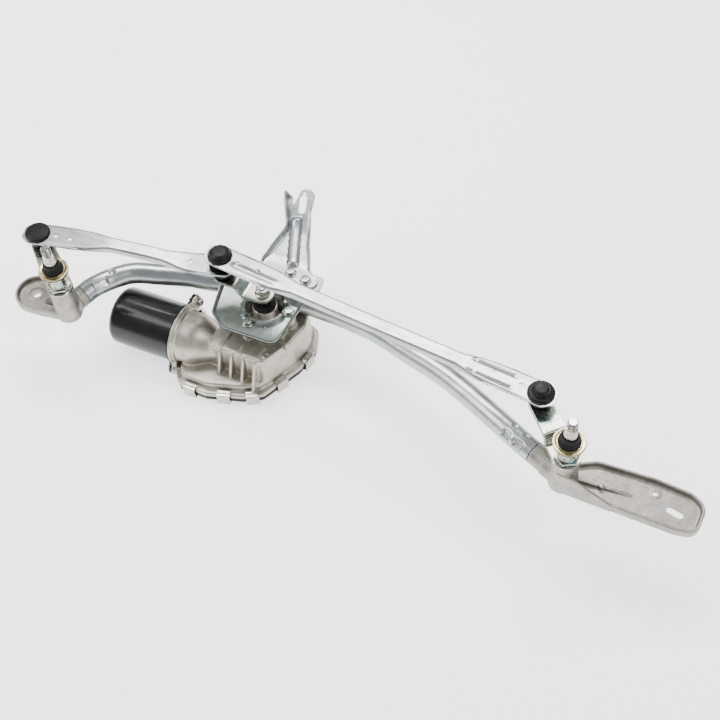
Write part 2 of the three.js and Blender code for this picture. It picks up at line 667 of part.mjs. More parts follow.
function outputShaft() {
  const seat = CRANK_Z - FIT;
  const foot = GEAR_AXIS_Z - WHEEL_THICKNESS / 2 - 4;
  const threadZ = CRANK_Z + CRANK_THICKNESS;
  return piece('output_shaft', 'brightSteel', turned([
    [0, foot], [OUTPUT_SHAFT_RADIUS - 1, foot], [OUTPUT_SHAFT_RADIUS, foot + 1], [OUTPUT_SHAFT_RADIUS,
      seat],
    [OUTPUT_SHAFT_RADIUS - 1, seat], [OUTPUT_SHAFT_RADIUS - 1, threadZ], [THREAD_RADIUS, threadZ],
    [THREAD_RADIUS, threadZ + 8], [THREAD_RADIUS - 1, threadZ + 9], [0, threadZ + 9],
  ], undefined, 20));
}

function crankNut() {
  const z0 = CRANK_Z + CRANK_THICKNESS + FIT;
  const nut = joined(post(NUT_ACROSS_FLATS / 2 + 2, z0, z0 + 1.4), slab(hexagon(NUT_ACROSS_FLATS),
    z0 + 1, z0 + 7));
  return piece('crank_nut', 'zinc', nut.subtract(post(THREAD_RADIUS + FIT, z0 - 1, z0 + 8, undefined, 14)));
}

function wormWheel() {
  const z0 = GEAR_AXIS_Z - WHEEL_THICKNESS / 2;
  const rim = post(WHEEL_RADIUS, z0, z0 + WHEEL_THICKNESS, undefined, 40);
  const pocket = post(WHEEL_RADIUS - 6, z0 + WHEEL_THICKNESS - 3, 0, undefined, 32).subtract(post(11,
    z0, 0));
  return piece('worm_wheel', 'nylon', cutBy(rim, pocket, post(OUTPUT_SHAFT_RADIUS + FIT, -99, 0,
    undefined, 20)));
}

function crankAssembly() {
  return grouped([crankArm(), crankPinStub(), outputShaft(), crankNut(), wormWheel()], [0, 0, 0],
    CRANK_REST);
}

// ---- Motor plate and rear arm ---------------------------------------------------------

const MOTOR_BOLT_RADIUS = 26.5;
const MOTOR_BOLT_ANGLES = [-108, 8, 166];
const REAR_START_Y = SADDLE_Y + TUBE_RADIUS + PLATE_THICKNESS + 0.8; // front edge of the rear arm
const REAR_BOLTS = [{ x: 6, y: REAR_START_Y + 10.5 }, { x: 25.5, y: REAR_START_Y + 6 }];

/** The plate's section from front to back: flat, over the tube as a saddle, flat again. */
function plateSection() {
  const radius = TUBE_RADIUS + FIT + PLATE_THICKNESS;
  const start = Math.asin(-SADDLE_Z / radius);
  const points = [[-60, 0]];
  for (let i = 0; i <= 10; i += 1) {
    const angle = Math.PI - start - (i / 10) * (Math.PI - 2 * start);
    points.push([SADDLE_Y + radius * Math.cos(angle), SADDLE_Z + radius * Math.sin(angle)]);
  }
  points.push([90, 0]);
  return points;
}

function plateOutline(inset) {
  return outline([
    [-60 + inset, 66, 4], [-57 + inset, 8, 10], [-50 + inset, -27, 12], [-31, -41.5 + inset, 16],
    [29 - inset, -41.5 + inset, 14], [33.5 - inset, 10, 10], [44 - inset, 44, 8], [42 - inset, 66, 4],
  ]);
}

/** The three places where the motor's bolts clamp the plate. */
function motorBoltPlaces() {
  return MOTOR_BOLT_ANGLES.map((angle) => polar(MOTOR_BOLT_RADIUS, angle));
}

function alongY(body) {
  return body.rotate([0, 0, 90]);
}

function motorPlate() {
  const reach = 70;
  const arch = TUBE_RADIUS + FIT;
  const sheet = alongY(foldedSheet(plateSection(), PLATE_THICKNESS, reach));
  const saddle = rod(arch, new THREE.Vector3(-reach, SADDLE_Y, SADDLE_Z), new THREE.Vector3(reach,
    SADDLE_Y, SADDLE_Z), 40);
  const plan = slab(plateOutline(0), -20, 30);
  const rearEdge = box(-70, 70, -50, 60.5, -20, 30).subtract(box(-70, -31, SADDLE_Y + 14, 80, -20, 30));
  const wallBand = slab(plateOutline(0), -PLATE_THICKNESS, 20).subtract(slab(plateOutline(PLATE_WALL),
    -20, 30));
  const wallTop = alongY(wallWedge(reach));
  const rim = turned([[PLATE_HOLE_RADIUS, -PLATE_THICKNESS], [PLATE_HOLE_RADIUS + 7, -PLATE_THICKNESS],
    [PLATE_HOLE_RADIUS + 7, 0], [PLATE_HOLE_RADIUS + 3.5, 3.4], [PLATE_HOLE_RADIUS, 3.4],
    [PLATE_HOLE_RADIUS, -PLATE_THICKNESS]], undefined, 36);
  const hole = post(PLATE_HOLE_RADIUS, -20, 30, undefined, 36);
  const seats = motorBoltPlaces().map((at) => post(BOLT_HEAD_RADIUS + 1.3, 0, 9, at, 20));
  const bored = [...motorBoltPlaces(), ...REAR_BOLTS].map((at) => post(BOLT_SHANK_RADIUS + FIT, -20,
    20, at, 12));
  const pan = joined(sheet, wallBand.intersect(wallTop), rim).intersect(plan).intersect(rearEdge);
  return piece('motor_plate', 'plateSteel', cutBy(pan, hole, saddle, swept(TUBE_RADIUS + 2 * FIT),
    ...seats, ...bored));
}

/** The side walls' height: low along the front, rising to the saddle, gone behind it. */
function wallWedge(halfWidth) {
  const radius = TUBE_RADIUS + FIT + PLATE_THICKNESS;
  const shape = new THREE.Shape([
    new THREE.Vector2(-60, -PLATE_THICKNESS), new THREE.Vector2(SADDLE_Y, -PLATE_THICKNESS),
    new THREE.Vector2(SADDLE_Y, SADDLE_Z + radius), new THREE.Vector2(6, 7), new THREE.Vector2(-28, 3.2),
    new THREE.Vector2(-60, 3.2),
  ]);
  const wedge = new THREE.ExtrudeGeometry(shape, { depth: 2 * halfWidth, bevelEnabled: false });
  wedge.rotateX(Math.PI / 2);
  wedge.translate(0, halfWidth, 0);
  return solid(wedge);
}

const ARM_BASE_Z = FIT; // the rear arm lies on the plate's rear flange
const EAR_SLOT = { half: 6, radius: 4.2 };

/** A stamped arm that runs back from two bolts and climbs to a slotted ear. */
function rearArm() {
  const top = ARM_BASE_Z + REAR_ARM_THICKNESS;
  const sheet = alongY(foldedSheet(
    [[38, top], [64, top], [104, top + 10], [122, top + 19], [152, top + 30]],
    REAR_ARM_THICKNESS, 70,
  ));
  const plan = slab(outline([
    [37, REAR_START_Y, 5], [39, REAR_START_Y + 11, 8], [24, 62, 12], [9, 92, 20], [6, 124, 12], [-14, 150, 16], [-34, 146, 12],
    [-36, 134, 5], [-20, 100, 14], [-27, 74, 18], [-31, 60, 4], [-31, REAR_START_Y + 0.5, 4],
  ]), -20, 60);
  const bead = rod(5.2, new THREE.Vector3(4, REAR_START_Y + 21, top - 3.6), new THREE.Vector3(-14, 112, top + 9), 20)
    .subtract(rod(5.2 - REAR_ARM_THICKNESS, new THREE.Vector3(4, REAR_START_Y + 20, top - 3.6),
      new THREE.Vector3(-14.4, 113, top + 9), 20));
  const under = alongY(foldedSheet(
    [[38, top - 1], [64, top - 1], [104, top + 9], [122, top + 18], [152, top + 29]], 30, 70,
  ));
  const slot = slab(strap(EAR_SLOT.radius, 2 * EAR_SLOT.half, EAR_SLOT.radius), -20, 60)
    .rotate([0, 0, 106]).translate([-13, 124, 0]);
  const bored = REAR_BOLTS.map((at) => post(BOLT_SHANK_RADIUS + FIT, -20, 20, at, 12));
  const body = sheet.intersect(plan).add(bead.subtract(under));
  return piece('rear_arm', 'galvanised', cutBy(body, slot, ...bored));
}

/** A flanged hexagon bolt whose head bears on a face at z. */
function bolt(name, z, shank, at) {
  const head = joined(
    post(BOLT_HEAD_RADIUS, z, z + 1.6, at, 20),
    slab(hexagon(BOLT_HEAD_RADIUS * 1.45), z + 1, z + BOLT_HEAD_HEIGHT).translate([at.x, at.y, 0]),
    post(BOLT_SHANK_RADIUS, z - shank, z + 1, at, 10),
  );
  return piece(name, 'zinc', head);
}

function plateAssembly() {
  const rearHeadZ = ARM_BASE_Z + REAR_ARM_THICKNESS + FIT;
  return grouped([
    motorPlate(),
    rearArm(),
    ...REAR_BOLTS.map((at, i) => bolt(`rear_arm_bolt_${i + 1}`, rearHeadZ, 14, at)),
    ...motorBoltPlaces().map((at, i) => bolt(`motor_bolt_${i + 1}`, FIT, 16, at)),
  ]);
}

// ---- Gear motor -----------------------------------------------------------------------

const CHAMBER_RADIUS = WHEEL_RADIUS + 3;
const TUNNEL_RADIUS = WORM_RADIUS + 3;
const TUNNEL_WALL = 5;
const WORM_START = 26; // how far to the left of the output axis the worm begins
const WORM_END_X = 8;
const CLIP_LANDING = 7.5; // width of the flange that the cover's clips hook over
const YOKE_SCREW_ANGLES = [28, 222];
const YOKE_SCREW_RADIUS = YOKE_RADIUS + 6.5;

/** The corners of the gear casing's lower outline, which the cover repeats: x, y and fillet. */
function caseCorners() {
  return [
    [FLANGE_X + 5, -73, 8], [-70, -87, 8], [-37, -88, 10], [2, -77, 10], [22, -66, 10], [44, -20, 14],
    [50.5, 10, 18], [42, 36, 16], [0, 46, 20], [-50, 44, 16], [-62, 20, 10], [-70, -12, 8],
    [FLANGE_X + 5, -16, 4],
  ];
}

/** The lower outline drawn in by `inset` on every side. */
function caseOutline(inset) {
  const corners = caseCorners();
  return outline(corners.map(([x, y, radius], i) => {
    const here = new THREE.Vector2(x, y);
    const before = outwardNormal(corner(corners, i - 1), here);
    const after = outwardNormal(here, corner(corners, i + 1));
    const mitre = before.clone().add(after);
    mitre.multiplyScalar(-inset / (1 + before.dot(after)));
    return [x + mitre.x, y + mitre.y, radius];
  }));
}

/** The outward side of an edge of a counter-clockwise outline. */
function outwardNormal(from, to) {
  const along = to.clone().sub(from).normalize();
  return new THREE.Vector2(along.y, -along.x);
}

/** The casing's upper block: the lower outline drawn in, and cut off in front along the worm's tunnel. */
function deck() {
  const front = WORM_Y - TUNNEL_RADIUS - TUNNEL_WALL;
  const block = slab(caseOutline(CLIP_LANDING), CASE_FOOT_Z + 1, DECK_Z);
  return block.intersect(box(FLANGE_X + 42, 99, front, 99, CASE_FOOT_Z - 1, 99));
}

/** A bar along X, level with the armature. */
function levelBar(radius, x0, x1, y, z, segments = 24) {
  return rod(radius, new THREE.Vector3(x0, y, z), new THREE.Vector3(x1, y, z), segments);
}

/** A plate across X round the armature, with two ears for the yoke's screws. */
function earedPlate(radius, x0, x1) {
  const ears = YOKE_SCREW_ANGLES.map((angle) => {
    const at = polar(YOKE_SCREW_RADIUS, angle);
    return joined(
      levelBar(7, x0, x1, WORM_Y + at.x, GEAR_AXIS_Z + at.y, 12),
      levelBar(12, x0, x1, WORM_Y + at.x * 0.7, GEAR_AXIS_Z + at.y * 0.7, 12),
    );
  });
  return joined(levelBar(radius, x0, x1, WORM_Y, GEAR_AXIS_Z, 24), ...ears);
}

const YOKE_SCREW = { shank: 2, head: 4.2, height: 3.4 };

/** Bars along the yoke's screws between two places on X, to cut their holes with. */
function yokeScrewBars(radius, x0, x1) {
  return YOKE_SCREW_ANGLES.map((angle) => {
    const at = polar(YOKE_SCREW_RADIUS, angle);
    return levelBar(radius, x0, x1, WORM_Y + at.x, GEAR_AXIS_Z + at.y, 10);
  });
}

function yokeScrewHoles() {
  return yokeScrewBars(YOKE_SCREW.shank + FIT, FLANGE_X - 20, FLANGE_X + YOKE_FLANGE + 1);
}

function yokeScrewPockets() {
  const face = FLANGE_X + YOKE_FLANGE;
  return yokeScrewBars(YOKE_SCREW.head + 2 * FIT, face, face + YOKE_SCREW.height + 4);
}

function throat() {
  const bell = new THREE.LatheGeometry(
    [[0, 0], [29, 0], [28, 26], [20, 36], [TUNNEL_RADIUS + TUNNEL_WALL, 50], [0, 50]].map(([r,
      x]) => new THREE.Vector2(r, x)), 20,
  );
  bell.rotateZ(-Math.PI / 2);
  bell.translate(FLANGE_X + 2, WORM_Y, GEAR_AXIS_Z);
  return outward(solid(bell), () => solid(flipped(bell)));
}

function fins() {
  const xs = [-30, -16.5, -3, 10.5];
  const front = WORM_Y - TUNNEL_RADIUS - TUNNEL_WALL;
  const shape = new THREE.Shape([
    new THREE.Vector2(front + 3, DECK_Z), new THREE.Vector2(front - 2, DECK_Z),
    new THREE.Vector2(front - 19, CASE_FOOT_Z + 3), new THREE.Vector2(front + 3, CASE_FOOT_Z + 3),
  ]);
  const landing = slab(caseOutline(CLIP_LANDING), CASE_FOOT_Z + 1, DECK_Z);
  return xs.map((x) => {
    const fin = new THREE.ExtrudeGeometry(shape, { depth: 2.6, bevelEnabled: false });
    fin.applyMatrix4(new THREE.Matrix4().makeBasis(
      new THREE.Vector3(0, 1, 0), new THREE.Vector3(0, 0, 1), new THREE.Vector3(1, 0, 0),
    ));
    fin.translate(x, 0, 0);
    return solid(fin).intersect(landing);
  });
}

function gearHousing() {
  const pillars = motorBoltPlaces().map((at) => post(6.4, DECK_Z - 4, -PLATE_THICKNESS - FIT, at, 12));
  const outer = joined(
    slab(caseOutline(0), CASE_FOOT_Z, CASE_FOOT_Z + CASE_FLANGE),
    deck(),
    post(TOWER_RADIUS, DECK_Z - 4, TOWER_TOP_Z, undefined, 20),
    throat(),
    earedPlate(YOKE_RADIUS + 2, FLANGE_X, FLANGE_X + YOKE_FLANGE),
    ...pillars,
    ...fins(),
  );
  const wheelRoom = post(CHAMBER_RADIUS, CASE_FOOT_Z - 20, GEAR_AXIS_Z + WHEEL_THICKNESS / 2 + 3,
    undefined, 24);
  const wormRoom = levelBar(TUNNEL_RADIUS, FLANGE_X - 5, WORM_END_X + 8, WORM_Y, GEAR_AXIS_Z, 16);
  const brushRoom = levelBar(24, FLANGE_X - 5, FLANGE_X + 20, WORM_Y, GEAR_AXIS_Z, 20);
  const outputBore = post(OUTPUT_SHAFT_RADIUS + 3, -60, 20);
  const bored = motorBoltPlaces().map((at) => post(BOLT_SHANK_RADIUS + FIT, -18, 10, at, 10));
  const trimmed = outer.subtract(box(-200, 200, -200, 200, CASE_FOOT_Z - 40, CASE_FOOT_Z));
  const earBottom = earedPlate(YOKE_RADIUS + 2, FLANGE_X, FLANGE_X + YOKE_FLANGE);
  const body = joined(trimmed, earBottom);
  const tools = [wheelRoom, wormRoom, brushRoom, outputBore, ...bored, ...yokeScrewHoles(),
    ...yokeScrewPockets()];
  return piece('gear_housing', 'gearCase', cutBy(body, ...tools));
}

/** The plastic cover under the gears, with the socket that the car's loom plugs into. */
function gearCover() {
  const top = CASE_FOOT_Z - FIT;
  const clear = box(FLANGE_X - 20, FLANGE_X + YOKE_FLANGE + 8 + FIT, -200, 200, -200, 0);
  const lid = slab(caseOutline(1), top - COVER_THICKNESS, top).subtract(clear);
  const shell = box(-44, -14, 38, 70, top - COVER_THICKNESS, top - COVER_THICKNESS + 20);
  const room = box(-41.5, -16.5, 50, 71, top - COVER_THICKNESS + 2.5, top - COVER_THICKNESS + 17.5);
  const passed = slab(caseOutline(-0.8), CASE_FOOT_Z - FIT, CASE_FOOT_Z + 20);
  return piece('gear_cover', 'blackPlastic', joined(lid, shell.subtract(passed)).subtract(room));
}

/** The sheet clips that clasp the casing and the cover: the edge each is on, and how far along it. */
const CLIP_PLACES = [[1, 0.42], [2, 0.5], [3, 0.5], [4, 0.5], [5, 0.5], [7, 0.5], [9, 0.5]];

function coverClip(name, edge, share) {
  const corners = caseCorners();
  const [from, to] = [corner(corners, edge), corner(corners, edge + 1)];
  const at = from.clone().lerp(to, share);
  const top = CASE_FOOT_Z + CASE_FLANGE + FIT;
  const low = CASE_FOOT_Z - FIT - COVER_THICKNESS;
  const half = 7;
  const out = 1.7;
  const sheet = 1.1;
  const shape = new THREE.Shape([
    [-5, top], [-5, top + sheet], [out + sheet, top + sheet], [out + sheet, low - sheet - FIT],
    [-3.5, low - sheet - FIT], [-3.5, low - FIT], [out, low - FIT], [out, top],
  ].map(([r, z]) => new THREE.Vector2(r, z)));
  const clip = new THREE.ExtrudeGeometry(shape, { depth: 2 * half, bevelEnabled: false });
  clip.rotateX(Math.PI / 2);
  clip.translate(0, half, 0);
  const mesh = piece(name, 'brightSteel', solid(clip));
  mesh.position.set(at.x, at.y, 0);
  mesh.rotation.z = outwardNormal(from, to).angle();
  return mesh;
}

/** The motor's deep-drawn can, open towards the gear casing. */
function yoke() {
  const mouthX = FLANGE_X - FIT;
  const endX = mouthX - YOKE_LENGTH;
  const round = 5;
  const can = new THREE.LatheGeometry([
    [0, endX], [YOKE_RADIUS - round, endX], [YOKE_RADIUS - 1.4, endX + 1.4], [YOKE_RADIUS, endX + round],
    [YOKE_RADIUS, mouthX], [YOKE_RADIUS - YOKE_WALL, mouthX],
    [YOKE_RADIUS - YOKE_WALL, endX + round], [YOKE_RADIUS - YOKE_WALL - 3, endX + YOKE_WALL], [0,
    endX + YOKE_WALL],
  ].map(([r, x]) => new THREE.Vector2(r, x)), 24);
  can.rotateZ(-Math.PI / 2);
  can.translate(0, WORM_Y, GEAR_AXIS_Z);
  const shell = outward(solid(can), () => solid(flipped(can)));
  const lip = earedPlate(YOKE_RADIUS + 1.5, mouthX - 2, mouthX);
  const inside = levelBar(YOKE_RADIUS - YOKE_WALL, mouthX - 10, mouthX + 5, WORM_Y, GEAR_AXIS_Z, 24);
  return piece('motor_yoke', 'blackPaint', cutBy(joined(shell, lip), inside, ...yokeScrewHoles()));
}

function yokeScrew(name, angle) {
  const at = polar(YOKE_SCREW_RADIUS, angle);
  const face = FLANGE_X + YOKE_FLANGE + FIT;
  const [y, z] = [WORM_Y + at.x, GEAR_AXIS_Z + at.y];
  const body = joined(
    levelBar(YOKE_SCREW.head, face, face + YOKE_SCREW.height, y, z, 10),
    levelBar(YOKE_SCREW.shank, FLANGE_X - 6, face + 1, y, z, 10),
  );
  return piece(name, 'zinc', body.subtract(levelBar(1.9, face + 1.4, face + 5, y, z, 6)));
}

/** One of the two curved magnets inside the yoke. */
function magnet(name, side) {
  const outer = YOKE_RADIUS - YOKE_WALL - FIT;
  const [x0, x1] = [FLANGE_X - 58, FLANGE_X - 16];
  const ring = levelBar(outer, x0, x1, WORM_Y, GEAR_AXIS_Z, 24).subtract(
    levelBar(outer - 5.5, x0 - 1, x1 + 1, WORM_Y, GEAR_AXIS_Z, 24));
  const half = side > 0 ? [GEAR_AXIS_Z + 8, 50] : [-120, GEAR_AXIS_Z - 8];
  return piece(name, 'ferrite', ring.intersect(box(x0 - 2, x1 + 2, -99, 30, ...half)));
}

function brushCard() {
  const card = levelBar(YOKE_RADIUS - YOKE_WALL - 1, FLANGE_X - 9, FLANGE_X - 5, WORM_Y, GEAR_AXIS_Z, 24);
  return piece('brush_card', 'blackPlastic', card.subtract(levelBar(9, FLANGE_X - 20, FLANGE_X, WORM_Y,
    GEAR_AXIS_Z, 12)));
}

function outputBush() {
  const ring = post(OUTPUT_SHAFT_RADIUS + 3 - FIT, DECK_Z - 6, TOWER_TOP_Z - 1);
  return piece('output_bush', 'bronze', ring.subtract(post(OUTPUT_SHAFT_RADIUS + FIT, -60, 20)));
}

function outputSeal() {
  const z0 = TOWER_TOP_Z + FIT;
  const body = turned([[0, z0], [12.6, z0], [12.6, z0 + 1.6], [10.8, z0 + 2.2], [10.8, z0 + 4], [0,
    z0 + 4]]);
  return piece('output_seal', 'rubber', body.subtract(post(OUTPUT_SHAFT_RADIUS + FIT, z0 - 1, z0 + 5)));
}

function armatureShaft() {
  const profile = [
    [0, FLANGE_X - 66], [3.5, FLANGE_X - 66], [3.5, -WORM_START - 4], [WORM_RADIUS, -WORM_START],
    [WORM_RADIUS, WORM_END_X], [3.5, WORM_END_X + 3], [3.5, WORM_END_X + 6], [0, WORM_END_X + 6],
  ];
  const bar = new THREE.LatheGeometry(profile.map(([r, x]) => new THREE.Vector2(r, x)), 12);
  bar.rotateZ(-Math.PI / 2);
  bar.translate(0, WORM_Y, GEAR_AXIS_Z);
  return piece('worm_shaft', 'brightSteel', outward(solid(bar), () => solid(flipped(bar))));
}

function armatureCore() {
  const core = levelBar(YOKE_RADIUS - YOKE_WALL - 8, FLANGE_X - 58, FLANGE_X - 18, WORM_Y, GEAR_AXIS_Z, 16);
  return piece('armature_core', 'copper', core.subtract(levelBar(3.5 + FIT, FLANGE_X - 70, 0, WORM_Y,
    GEAR_AXIS_Z, 12)));
}

function motorAssembly() {
  return grouped([
    gearHousing(), gearCover(), yoke(),
    ...CLIP_PLACES.map(([edge, share], i) => coverClip(`cover_clip_${i + 1}`, edge, share)),
    ...YOKE_SCREW_ANGLES.map((angle, i) => yokeScrew(`yoke_screw_${i + 1}`, angle)),
    magnet('upper_magnet', 1), magnet('lower_magnet', -1), brushCard(), outputBush(), outputSeal(),
    armatureShaft(), armatureCore(),
  ]);
}

// ---- The whole part -------------------------------------------------------------------

const assembly = new THREE.Group();
assembly.add(
  frameTube(),
  grouped([leftHousing(), pivotBush('left_bush')], [leftPivot.x, leftPivot.y, 0]),
  grouped([rightHousing(), pivotBush('right_bush')], [rightPivot.x, rightPivot.y, 0]),
  plateAssembly(),
  motorAssembly(),
  crankAssembly(),
  leverAssembly('left', leftPivot, LEFT_LEVER_RADIUS, LEFT_LEVER_REST),
  leverAssembly('right', rightPivot, RIGHT_LEVER_RADIUS, RIGHT_LEVER_REST),
  leftLinkAssembly(),
  rightLinkAssembly(),
);
assembly.position.set(-RIGHT_PIVOT_X - RIGHT_ARM.slotX, -PIVOT_Y - RIGHT_ARM.seatY, -ARM_FOOT_Z);

const group = new THREE.Group();
group.add(assembly);

export default group;
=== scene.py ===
"""Looks of a windshield wiper linkage with its gear motor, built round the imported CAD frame.

Sizes are in millimetres, measured from the motor's output axis at the top face of the motor plate,
with +Z up along the wiper shafts and +X from the left pivot to the right one. Meshes are made in
that datum frame and then moved, so every finished object stands at the scene's origin.
"""

import json
import logging
import math
from dataclasses import dataclass, field
from enum import Enum
from typing import Callable, Iterable, Sequence

import bmesh
import bpy
import numpy as np
from mathutils import Matrix, Vector
from mathutils.geometry import delaunay_2d_cdt


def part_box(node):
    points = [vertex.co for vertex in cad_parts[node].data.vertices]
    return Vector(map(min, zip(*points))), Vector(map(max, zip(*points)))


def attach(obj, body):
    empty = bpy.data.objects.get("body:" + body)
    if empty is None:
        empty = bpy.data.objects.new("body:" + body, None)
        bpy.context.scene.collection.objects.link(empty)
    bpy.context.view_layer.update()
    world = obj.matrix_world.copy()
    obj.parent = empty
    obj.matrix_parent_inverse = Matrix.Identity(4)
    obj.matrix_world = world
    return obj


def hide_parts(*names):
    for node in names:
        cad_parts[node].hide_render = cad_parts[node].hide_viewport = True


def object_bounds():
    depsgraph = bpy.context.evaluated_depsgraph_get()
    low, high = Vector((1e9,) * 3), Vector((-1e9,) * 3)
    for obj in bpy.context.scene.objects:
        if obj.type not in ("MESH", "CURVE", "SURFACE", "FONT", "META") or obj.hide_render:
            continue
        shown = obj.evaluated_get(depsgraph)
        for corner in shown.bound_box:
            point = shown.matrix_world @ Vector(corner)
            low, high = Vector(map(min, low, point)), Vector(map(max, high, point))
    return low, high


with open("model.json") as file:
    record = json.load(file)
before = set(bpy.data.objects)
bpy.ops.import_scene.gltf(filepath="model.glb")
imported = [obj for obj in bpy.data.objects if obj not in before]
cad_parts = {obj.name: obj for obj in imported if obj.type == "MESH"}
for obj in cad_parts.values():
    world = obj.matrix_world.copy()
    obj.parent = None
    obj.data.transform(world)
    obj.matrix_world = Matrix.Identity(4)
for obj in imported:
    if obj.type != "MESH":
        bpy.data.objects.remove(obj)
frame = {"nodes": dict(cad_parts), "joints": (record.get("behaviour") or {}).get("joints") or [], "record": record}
CAD_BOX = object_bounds()

log = logging.getLogger("wiper_linkage")

MM = 0.001
SMOOTH_ANGLE = math.radians(34)
FIT = 0.3  # air between pieces that would touch
TUBE_RADIUS = 11.7
SADDLE_Y, SADDLE_Z = 26.0, -7.6  # where the tube lies under the motor plate
BALL_RADIUS, BALL_STEM = 6.5, 4.2  # every ball of the linkage
BOLT_HOLE = 3.3  # radius of the holes for the flanged bolts
BOLT_RING, BOLT_ANGLES = 26.5, (-108, 8, 166)  # the motor's bolts, round the output axis
Profile = Sequence[tuple[float, ...]]
Surface = Callable[[np.ndarray, np.ndarray, np.ndarray], np.ndarray]
REAR_BOLTS: Profile = ((6.0, 51.5), (25.5, 47.0))
Wave = Callable[[np.ndarray, np.ndarray], np.ndarray]


# ---- The datum frame ---------------------------------------------------------------------------

BOSS_DEPTH = 5.0  # how far the castings' bosses reach below the datum level


def middle(node: str) -> Vector:
    """Return the middle of a CAD node's box, in metres."""
    low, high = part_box(node)
    return (low + high) / 2


def datum() -> np.ndarray:
    """Return where the datum frame's origin is in the scene, in millimetres."""
    axis = middle("output_shaft")
    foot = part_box("right_pivot_housing")[0].z
    return np.array([axis.x / MM, axis.y / MM, foot / MM + BOSS_DEPTH])


def joint_place(name: str) -> np.ndarray:
    """Return a joint's point in the datum frame, in millimetres."""
    found = next(j for j in frame["joints"] if j["name"] == name)
    return np.array(found["pos_m"]) / MM - datum()


@dataclass(frozen=True)
class Place:
    """A local frame of a sub-assembly: its origin in the datum frame and its turn about Z."""

    x: float = 0.0
    y: float = 0.0
    z: float = 0.0
    turn: float = 0.0

    def to_scene(self, points: np.ndarray) -> np.ndarray:
        """Move local points into the scene.

        Args:
            points: Rows of x, y and z in millimetres, in the local frame.

        Returns:
            The same points in metres, in the scene's frame.
        """
        c, s = math.cos(self.turn), math.sin(self.turn)
        turned = points @ np.array([[c, s, 0], [-s, c, 0], [0, 0, 1]])
        return (turned + np.array([self.x, self.y, self.z]) + datum()) * MM


# ---- Outlines and profiles ---------------------------------------------------------------------


def heading(degrees: float) -> np.ndarray:
    """Return the level unit vector at an angle from X."""
    angle = math.radians(degrees)
    return np.array([math.cos(angle), math.sin(angle), 0])


def rounded_outline(corners: Profile, step: float = 1.2) -> np.ndarray:
    """Trace a closed outline with round corners.

    Args:
        corners: x, y and corner radius, and optionally the height of the flange at that corner,
            counter-clockwise.
        step: Rough distance between neighbouring points.

    Returns:
        Rows of x, y and flange height.
    """
    points: list[np.ndarray] = []
    count = len(corners)
    for i, corner in enumerate(corners):
        here = np.array(corner[:2], float)
        lift = corner[3] if len(corner) > 3 else 0.0
        before = np.array(corners[i - 1][:2], float) - here
        after = np.array(corners[(i + 1) % count][:2], float) - here
        reach_before, reach_after = np.linalg.norm(before), np.linalg.norm(after)
        before, after = before / reach_before, after / reach_after
        half = math.acos(max(-1.0, min(1.0, float(before @ after)))) / 2
        tangent = min(corner[2] / max(math.tan(half), 1e-6), 0.48 * reach_before, 0.48 * reach_after)
        start, end = here + before * tangent, here + after * tangent
        bend = max(2, int(math.ceil((math.pi - 2 * half) * tangent * math.tan(half) / step)) + 2)
        for t in np.linspace(0, 1, bend if tangent > 1e-6 else 1):
            weight = math.sin(half) if tangent > 1e-6 else 1.0
            a, b, c = (1 - t) ** 2, 2 * t * (1 - t) * weight, t ** 2
            if tangent <= 1e-6:
                a, b, c = 0.0, 1.0, 0.0
            points.append(np.append((start * a + here * b + end * c) / (a + b + c), lift))
    return evenly_spaced(np.array(points), step)


def evenly_spaced(points: np.ndarray, step: float) -> np.ndarray:
    """Add points along the straight stretches of a closed loop, and drop doubled ones."""
    rows: list[np.ndarray] = []
    for here, there in zip(points, np.roll(points, -1, axis=0)):
        length = np.linalg.norm((there - here)[:2])
        if length < 1e-4:
            continue
        parts = max(1, int(round(length / step)))
        rows.extend(here + (there - here) * (k / parts) for k in range(parts))
    return np.array(rows)


def circle(x: float, y: float, radius: float, count: int = 40) -> np.ndarray:
    """Return a counter-clockwise circle as a loop of points."""
    angles = np.arange(count) * 2 * math.pi / count
    ring = np.stack([x + radius * np.cos(angles), y + radius * np.sin(angles)], axis=1)
    return np.hstack([ring, np.zeros((count, 1))])


def oblong(x: float, y: float, half: float, radius: float, degrees: float) -> np.ndarray:
    """Return a slot with round ends as a loop of points."""
    along = heading(degrees)[:2]
    rows = []
    for side, start in ((1, -90), (-1, 90)):
        for angle in np.radians(degrees + start + np.linspace(0, 180, 18)):
            arc = radius * np.array([math.cos(angle), math.sin(angle)])
            rows.append(np.array([x, y]) + along * half * side + arc)
    return np.hstack([np.array(rows), np.zeros((len(rows), 1))])


def strap(radius0: float, length: float, radius1: float) -> np.ndarray:
    """Return the outline of a strap from one round end at the origin to another along X."""
    tilt = math.asin((radius0 - radius1) / length)
    far = np.linspace(-math.pi / 2 + tilt, math.pi / 2 - tilt, 26)
    near = np.linspace(math.pi / 2 - tilt, 1.5 * math.pi + tilt, 30)
    rows = [(length + radius1 * math.cos(a), radius1 * math.sin(a), 0.0) for a in far]
    rows += [(radius0 * math.cos(a), radius0 * math.sin(a), 0.0) for a in near]
    return evenly_spaced(np.array(rows), 1.2)


def drawn_in(loop: np.ndarray, distance: float) -> np.ndarray:
    """Move every point of a counter-clockwise loop inwards by a distance, or outwards if negative."""
    ahead = np.roll(loop[:, :2], -1, axis=0) - loop[:, :2]
    ahead /= np.maximum(np.linalg.norm(ahead, axis=1, keepdims=True), 1e-9)
    mean = ahead + np.roll(ahead, 1, axis=0)
    mean /= np.maximum(np.linalg.norm(mean, axis=1, keepdims=True), 1e-9)
    moved = loop.copy()
    moved[:, :2] += np.stack([-mean[:, 1], mean[:, 0]], axis=1) * distance
    return moved


